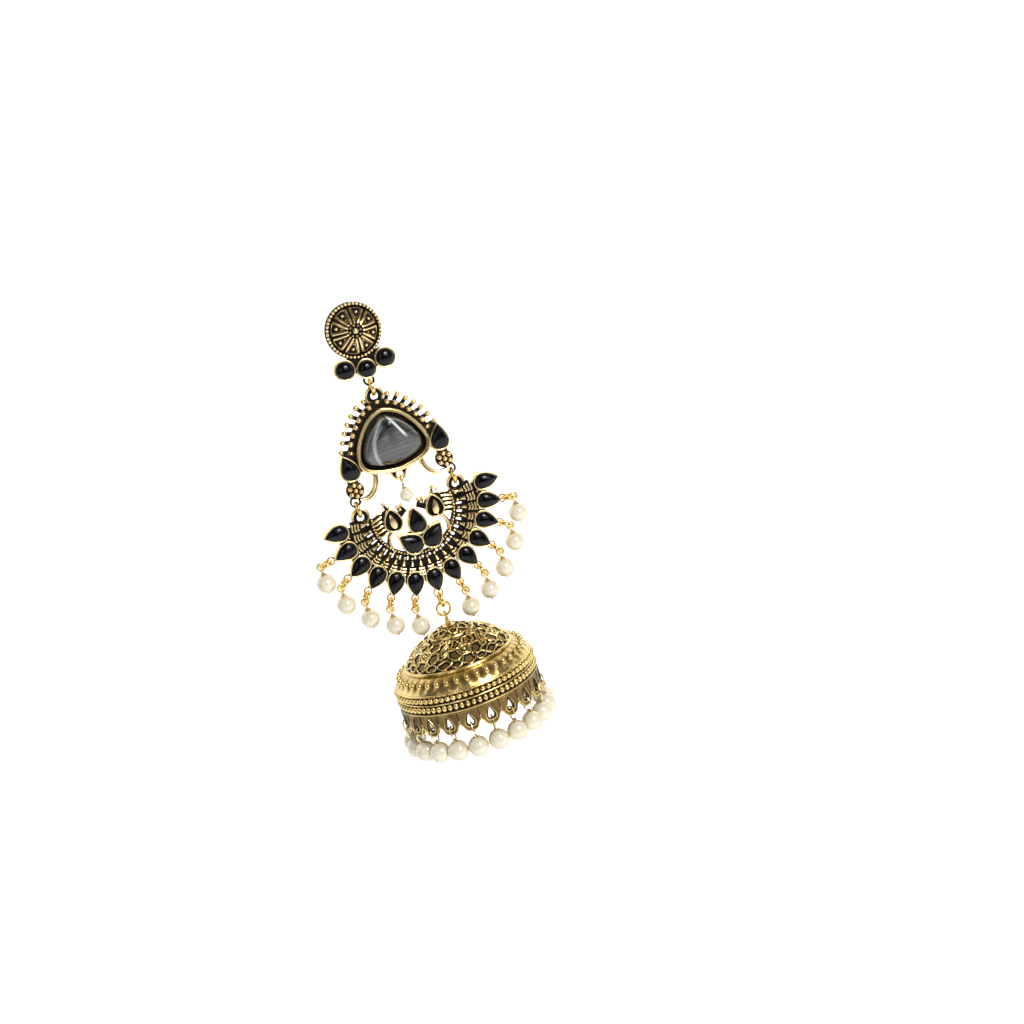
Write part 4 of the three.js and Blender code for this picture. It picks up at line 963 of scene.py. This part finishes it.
bell = bmesh.new()
bell_add = adder(bell, crown)
shell = lathe([(r, -d) for r, d in slope + flare + skirt + inside], FLUTES * 8)
for vert in shell.verts:
    r, depth = hypot(vert.co.x, vert.co.y), -vert.co.z
    grown = 1 + fluted(r, depth) * cos(FLUTES * atan2(vert.co.x, -vert.co.y)) / max(r, 1)
    vert.co = Vector((vert.co.x * grown, vert.co.y * grown, vert.co.z))
bell_add(shell, bell_tone)
turns = [2 * pi * i / 96 for i in range(96)]
for radius, depth, thick in ((4.75, 1.42, 0.3), (11.4, 6.42, 0.42), (14.75, 9.75, 0.22),
                             (14.85, 11.62, 0.2), (14.95, 13.62, 0.25), (1.9, 0.26, 0.22)):
    line = [Vector((radius * sin(t), radius * cos(t), -depth)) for t in turns]
    bell_add(wire(line, thick, closed=True), 0.6 if depth > 13 else BRIGHT)
for radius, depth, size, tall, count in ((14.85, 10.6, 0.6, 1.0, 74), (14.88, 12.6, 0.54, 1.35, 74),
                                         (13.5, 7.9, 0.62, 1.35, FLUTES)):
    beads = bmesh.new()
    shape = Matrix.Translation((0, -radius, -depth)) @ Matrix.Diagonal((1, 1, tall, 1))
    bmesh.ops.create_icosphere(beads, subdivisions=2, radius=size, matrix=shape)
    bell_add(around(beads, count), BRIGHT)

# %% Bell scroll
def along_slope(v):
    """Radius and depth at a distance along the dome's profile from the crown."""
    for (r, d), (s, e) in zip(slope, slope[1:]):
        step = hypot(s - r, e - d)
        if v <= step:
            return r + (s - r) * v / step, d + (e - d) * v / step
        v -= step
    return slope[-1]


def on_bell(u, v, lift=0.05):
    """u goes round and v down the dome, both in millimetres along the metal."""
    r, depth = along_slope(v)
    turn = u / max(r, 0.5)
    return Vector(((r + lift) * sin(turn), -(r + lift) * cos(turn), -depth + lift))


def cell(u, v, wide, tall, lean, corners, lift):
    """A closed loop on the dome: an oval, or with corners a rounded polygon."""
    a = radians(lean)
    loop = []
    for t in [2 * pi * i / 18 for i in range(18)]:
        grow = 1 + (0.11 * cos(corners * t) if corners else 0)
        p, q = wide / 2 * grow * sin(t), tall / 2 * grow * cos(t)
        loop.append(on_bell(u + p * cos(a) + q * sin(a),
                            v + p * sin(a) - q * cos(a), lift))
    return loop


def inlay(cells, thick, count):
    """Gold wires on the dome, each with a black line along both sides."""
    for shape in cells:
        for radius, lift, tone in ((thick + 0.48, -0.3, 1.2), (thick, 0.1, BRIGHT)):
            bell_add(around(wire(cell(*shape, lift), radius, closed=True), count), tone)


FLOWERS, HEART = 6, 9.3
flower = [(0.0, HEART, 1.9, 1.9, 0, 0)]
for k in range(5):
    a = 2 * pi * (k + 0.5) / 5
    size = 2.7 if 1 < a < 5.2 else 2.4
    flower.append((2.5 * sin(a), HEART - 2.4 * cos(a), size, 2.45, degrees(a), 5))
inlay(flower, 0.24, FLOWERS)
leaves = [(4.5, 8.4, 1.9, 4.3, 4, 0), (4.5, 8.6, 0.75, 2.3, 4, 0), (2.75, 5.9, 1.3, 1.3, 0, 4),
          (-2.5, 5.9, 1.3, 1.3, 0, 4), (5.6, 11.9, 2.8, 1.8, 0, 4), (2.75, 12.1, 2.2, 1.5, 0, 0),
          (-2.75, 12.1, 2.2, 1.5, 0, 0)]
inlay(leaves, 0.22, FLOWERS)
inlay([(0.0, 3.15, 1.7, 1.9, 0, 5)], 0.22, 8)
eyes = bmesh.new()
for u, v, size in ((0.0, HEART, 0.52), (1.15, 4.35, 0.28), (-1.15, 4.35, 0.28)):
    bmesh.ops.create_icosphere(eyes, subdivisions=2, radius=size,
                               matrix=Matrix.Translation(on_bell(u, v)))
bell_add(around(eyes, FLOWERS), BRIGHT)

# %% Bell finial and skirt
top = [(0, -0.4), (1.45, -0.35), (1.4, 0.05), (1.15, 0.2), (0.85, 0.22), (0.62, 0.4), (0.62, 0.75),
       (0.8, 0.9), (0.8, 1.1), (0.5, 1.25), (0.42, 1.62), (0, 1.66)]
bell_add(lathe(top, 28), 0.15)
add(bell, oval(2.1, 2.1, 0.27), BRIGHT, 0, loop_z)
side = [(2.24, 13.7), (2.24, 14.7), (2.24, 15.7), (2.24, 16.5), (2.0, 16.75), (1.72, 17.1),
        (1.48, 17.6), (1.15, 18.05), (0.65, 18.33), (0.0, 18.4)]
lobe = [(0.0, 13.7), (1.1, 13.7)] + side + [(-u, d) for u, d in reversed(side[:-1])]
lobe += [(-1.1, 13.7)]
drop = [(0.0, 14.5), (0.22, 14.95), (0.42, 15.45), (0.58, 15.95), (0.7, 16.4), (0.72, 16.75),
        (0.6, 17.05), (0.38, 17.2), (0.2, 17.25), (0.1, 17.25), (0.05, 17.25), (0.0, 17.25)]
drop += [(-u, d) for u, d in reversed(drop[1:-1])]
SKIRT = 14.35


def wrap(part):
    """Bend a flat part round the skirt."""
    for vert in part.verts:
        turn, out = vert.co.x / (SKIRT + 0.75), SKIRT - vert.co.y
        vert.co = Vector((out * sin(turn), -out * cos(turn), vert.co.z))
    return part


def skirt_add(part, patina):
    """Bend a part round the skirt and add it on every lobe."""
    bell_add(around(wrap(part), LOBES), patina)


panel = holed([(u, -d) for u, d in lobe], [(u, -d) for u, d in drop], 0, 0.75)
skirt_add(panel, lambda co: 0.52 + 0.1 * sin(LOBES * atan2(co.x, -co.y)))
skirt_add(wire([spot(u * 1.16, -d, 0.72) for u, d in drop], 0.15, closed=True, sides=6), 1.2)
collar = [spot(u * 1.55, -d - (0.25 if d > 16.9 else 0), 0.7) for u, d in drop[:20]]
skirt_add(wire(collar, 0.11, sides=6), 0.05)
skirt_add(wire([spot(u, -d, 0.7) for u, d in lobe[4:19]], 0.15, sides=6), BRIGHT)
skirt_add(wire([spot(2.24, -13.9, 0.72), spot(2.24, -16.5, 0.72)], 0.13, sides=6), 1.2)
finish_piece(bell, "bell_casting", "bell", bell_gold, "antique_gold", "bell")

# %% [markdown]
# ## The pearl rim
# Twenty-one pearls hang edge to edge from the teardrop openings. One pearl and one wire link are
# modelled in front and copied round the bell.

# %% Pearl rim
rim = crown - 18.4
link_top = rim + 1.95
rim_pearls, rim_wires = bmesh.new(), bmesh.new()


def rim_add(casting, part, height, patina=PLAIN, out=14.7):
    """Move a part to the front of the rim and add it under every lobe."""
    bmesh.ops.translate(part, verts=part.verts, vec=(0, -out, height))
    add(casting, around(part, LOBES), patina)


rim_add(rim_pearls, lathe(bead_profile(2.18), 24), link_top - 3.9 + 0.6 - 0.1 - 2.25)
finish_piece(rim_pearls, "rim_pearls", "bell", pearl_coat, "pearl", "bell_fringe")
rim_add(rim_wires, oval(2.5, 3.8, 0.19, steps=20, sides=8), link_top - 1.95, out=14.72)
collar = [(0, 0.45), (0.34, 0.4), (0.4, 0.0), (0.62, -0.16), (0.55, -0.3), (0, -0.3)]
rim_add(rim_wires, lathe(collar, 12), link_top - 3.38, 0.1)
nub = [(0, 0.15), (0.3, 0.1), (0.26, -0.12), (0, -0.2)]
rim_add(rim_wires, lathe(nub, 10), link_top - 3.4 - 4.4, BRIGHT)
finish_piece(rim_wires, "rim_wires", "bell", pale_gold, "antique_gold", "bell_fringe")

# %% [markdown]
# ## Studio
# The earring hangs in front of a white sweep, which stands far enough behind for the bell to swing.
# The sweep is seen from its front alone: its back lets the camera through, so that the earring
# can be looked at from behind. It glows more for the camera than for the metal, as white paper
# does in a bright print. A soft key light stands above on the right, and narrow lights draw the
# long highlights on the stone and the bell. The room is dark below and pale above.

# %% Sweep
def build_sweep_paint():
    finish, tree, shader = new_finish("sweep_paint")
    out = tree.nodes["Material Output"]
    set_inputs(shader, {"Base Color": (0.9, 0.925, 0.95, 1), "Roughness": 0.9,
                        "Emission Color": (1, 1, 1, 1)})
    seen = tree.nodes.new("ShaderNodeLightPath").outputs["Is Camera Ray"]
    tree.links.new(ramp(tree, seen, 0, 1, 0.45, 0.74), shader.inputs["Emission Strength"])
    clear = tree.nodes.new("ShaderNodeBsdfTransparent")
    choose = tree.nodes.new("ShaderNodeMixShader")
    tree.links.new(tree.nodes.new("ShaderNodeNewGeometry").outputs["Backfacing"], choose.inputs[0])
    tree.links.new(shader.outputs[0], choose.inputs[1])
    tree.links.new(clear.outputs[0], choose.inputs[2])
    tree.links.new(choose.outputs[0], out.inputs["Surface"])
    return finish


sweep = bmesh.new()
WALL, FOOT, BEND, HALF_WIDTH = 0.066, -0.12, 0.08, 0.7
turns = [radians(10 * i) for i in range(1, 10)]
line = [(WALL, 0.4), (WALL, FOOT)]
line += [(WALL - BEND * (1 - cos(t)), FOOT - BEND * sin(t)) for t in turns]
line += [(-0.8, FOOT - BEND)]
verts = [sweep.verts.new((-HALF_WIDTH, y, z)) for y, z in line]
edges = [sweep.edges.new(pair) for pair in zip(verts, verts[1:])]
grown = bmesh.ops.extrude_edge_only(sweep, edges=edges)["geom"]
pulled = [g for g in grown if isinstance(g, bmesh.types.BMVert)]
bmesh.ops.translate(sweep, verts=pulled, vec=(2 * HALF_WIDTH, 0, 0))
sweep.normal_update()
if sum(face.normal.y for face in sweep.faces) > 0:
    bmesh.ops.reverse_faces(sweep, faces=sweep.faces)
mesh = bpy.data.meshes.new("sweep")
sweep.to_mesh(mesh)
sweep.free()
mesh.shade_smooth()
mesh.materials.append(build_sweep_paint())
backdrop = bpy.data.objects.new("sweep", mesh)
scene.collection.objects.link(backdrop)

# %% Lights
def softbox(name, place, aim, size, power):
    light = bpy.data.lights.new(name, "AREA")
    light.shape = "RECTANGLE"
    light.size, light.size_y = size
    light.energy = power
    lamp = bpy.data.objects.new(name, light)
    lamp.location = place
    lamp.rotation_euler = (Vector(aim) - Vector(place)).to_track_quat("-Z", "Y").to_euler()
    scene.collection.objects.link(lamp)


softbox("key", (0.13, -0.36, 0.2), (0, 0, -0.045), (0.14, 0.14), 1.12)
softbox("halo", (0.15, -0.4, 0.13), (0, 0, -0.045), (0.3, 0.3), 0.4)
softbox("fill", (-0.2, -0.3, 0.1), (0, 0, -0.045), (0.05, 0.2), 0.07)
softbox("left", (-0.34, -0.2, 0.02), (0, 0, -0.05), (0.04, 0.3), 0.05)
softbox("right", (0.34, -0.08, 0.0), (0, 0, -0.05), (0.04, 0.3), 0.06)
world = bpy.data.worlds.new("studio")
world.use_nodes = True
sky = world.node_tree
way = sky.nodes.new("ShaderNodeSeparateXYZ")
sky.links.new(sky.nodes.new("ShaderNodeTexCoord").outputs["Generated"], way.inputs[0])
height = ramp(sky, way.outputs["Z"], -0.1, 0.75)
room = mixed(sky, height, (0.04, 0.035, 0.03, 1), (0.95, 0.97, 1.0, 1))
sky.links.new(room, sky.nodes["Background"].inputs["Color"])
set_inputs(sky.nodes["Background"], {"Strength": 0.13})
scene.world = world

# %% [markdown]
# ## Camera
# The camera stands in front, above and a little to the left, and is rolled, so that the earring
# leans in the picture as it does on the product photograph.

# %% Camera
STAND = (-0.05995, -0.34, 0.036)
YAW, PITCH_DOWN, ROLL = (radians(a) for a in (13.274, -13.322, -17.366))
forward = Vector((sin(YAW) * cos(PITCH_DOWN), cos(YAW) * cos(PITCH_DOWN), sin(PITCH_DOWN)))
level = Vector((cos(YAW), -sin(YAW), 0))
upward = level.cross(forward)
across = cos(ROLL) * level + sin(ROLL) * upward
up = cos(ROLL) * upward - sin(ROLL) * level
lens = bpy.data.cameras.new("camera")
lens.lens = 60.22
lens.sensor_width = 36
lens.clip_start = 0.01
camera = bpy.data.objects.new("camera", lens)
aim = Matrix((across, up, -forward)).transposed().to_4x4()
camera.matrix_world = Matrix.Translation(STAND) @ aim
scene.collection.objects.link(camera)
scene.camera = camera
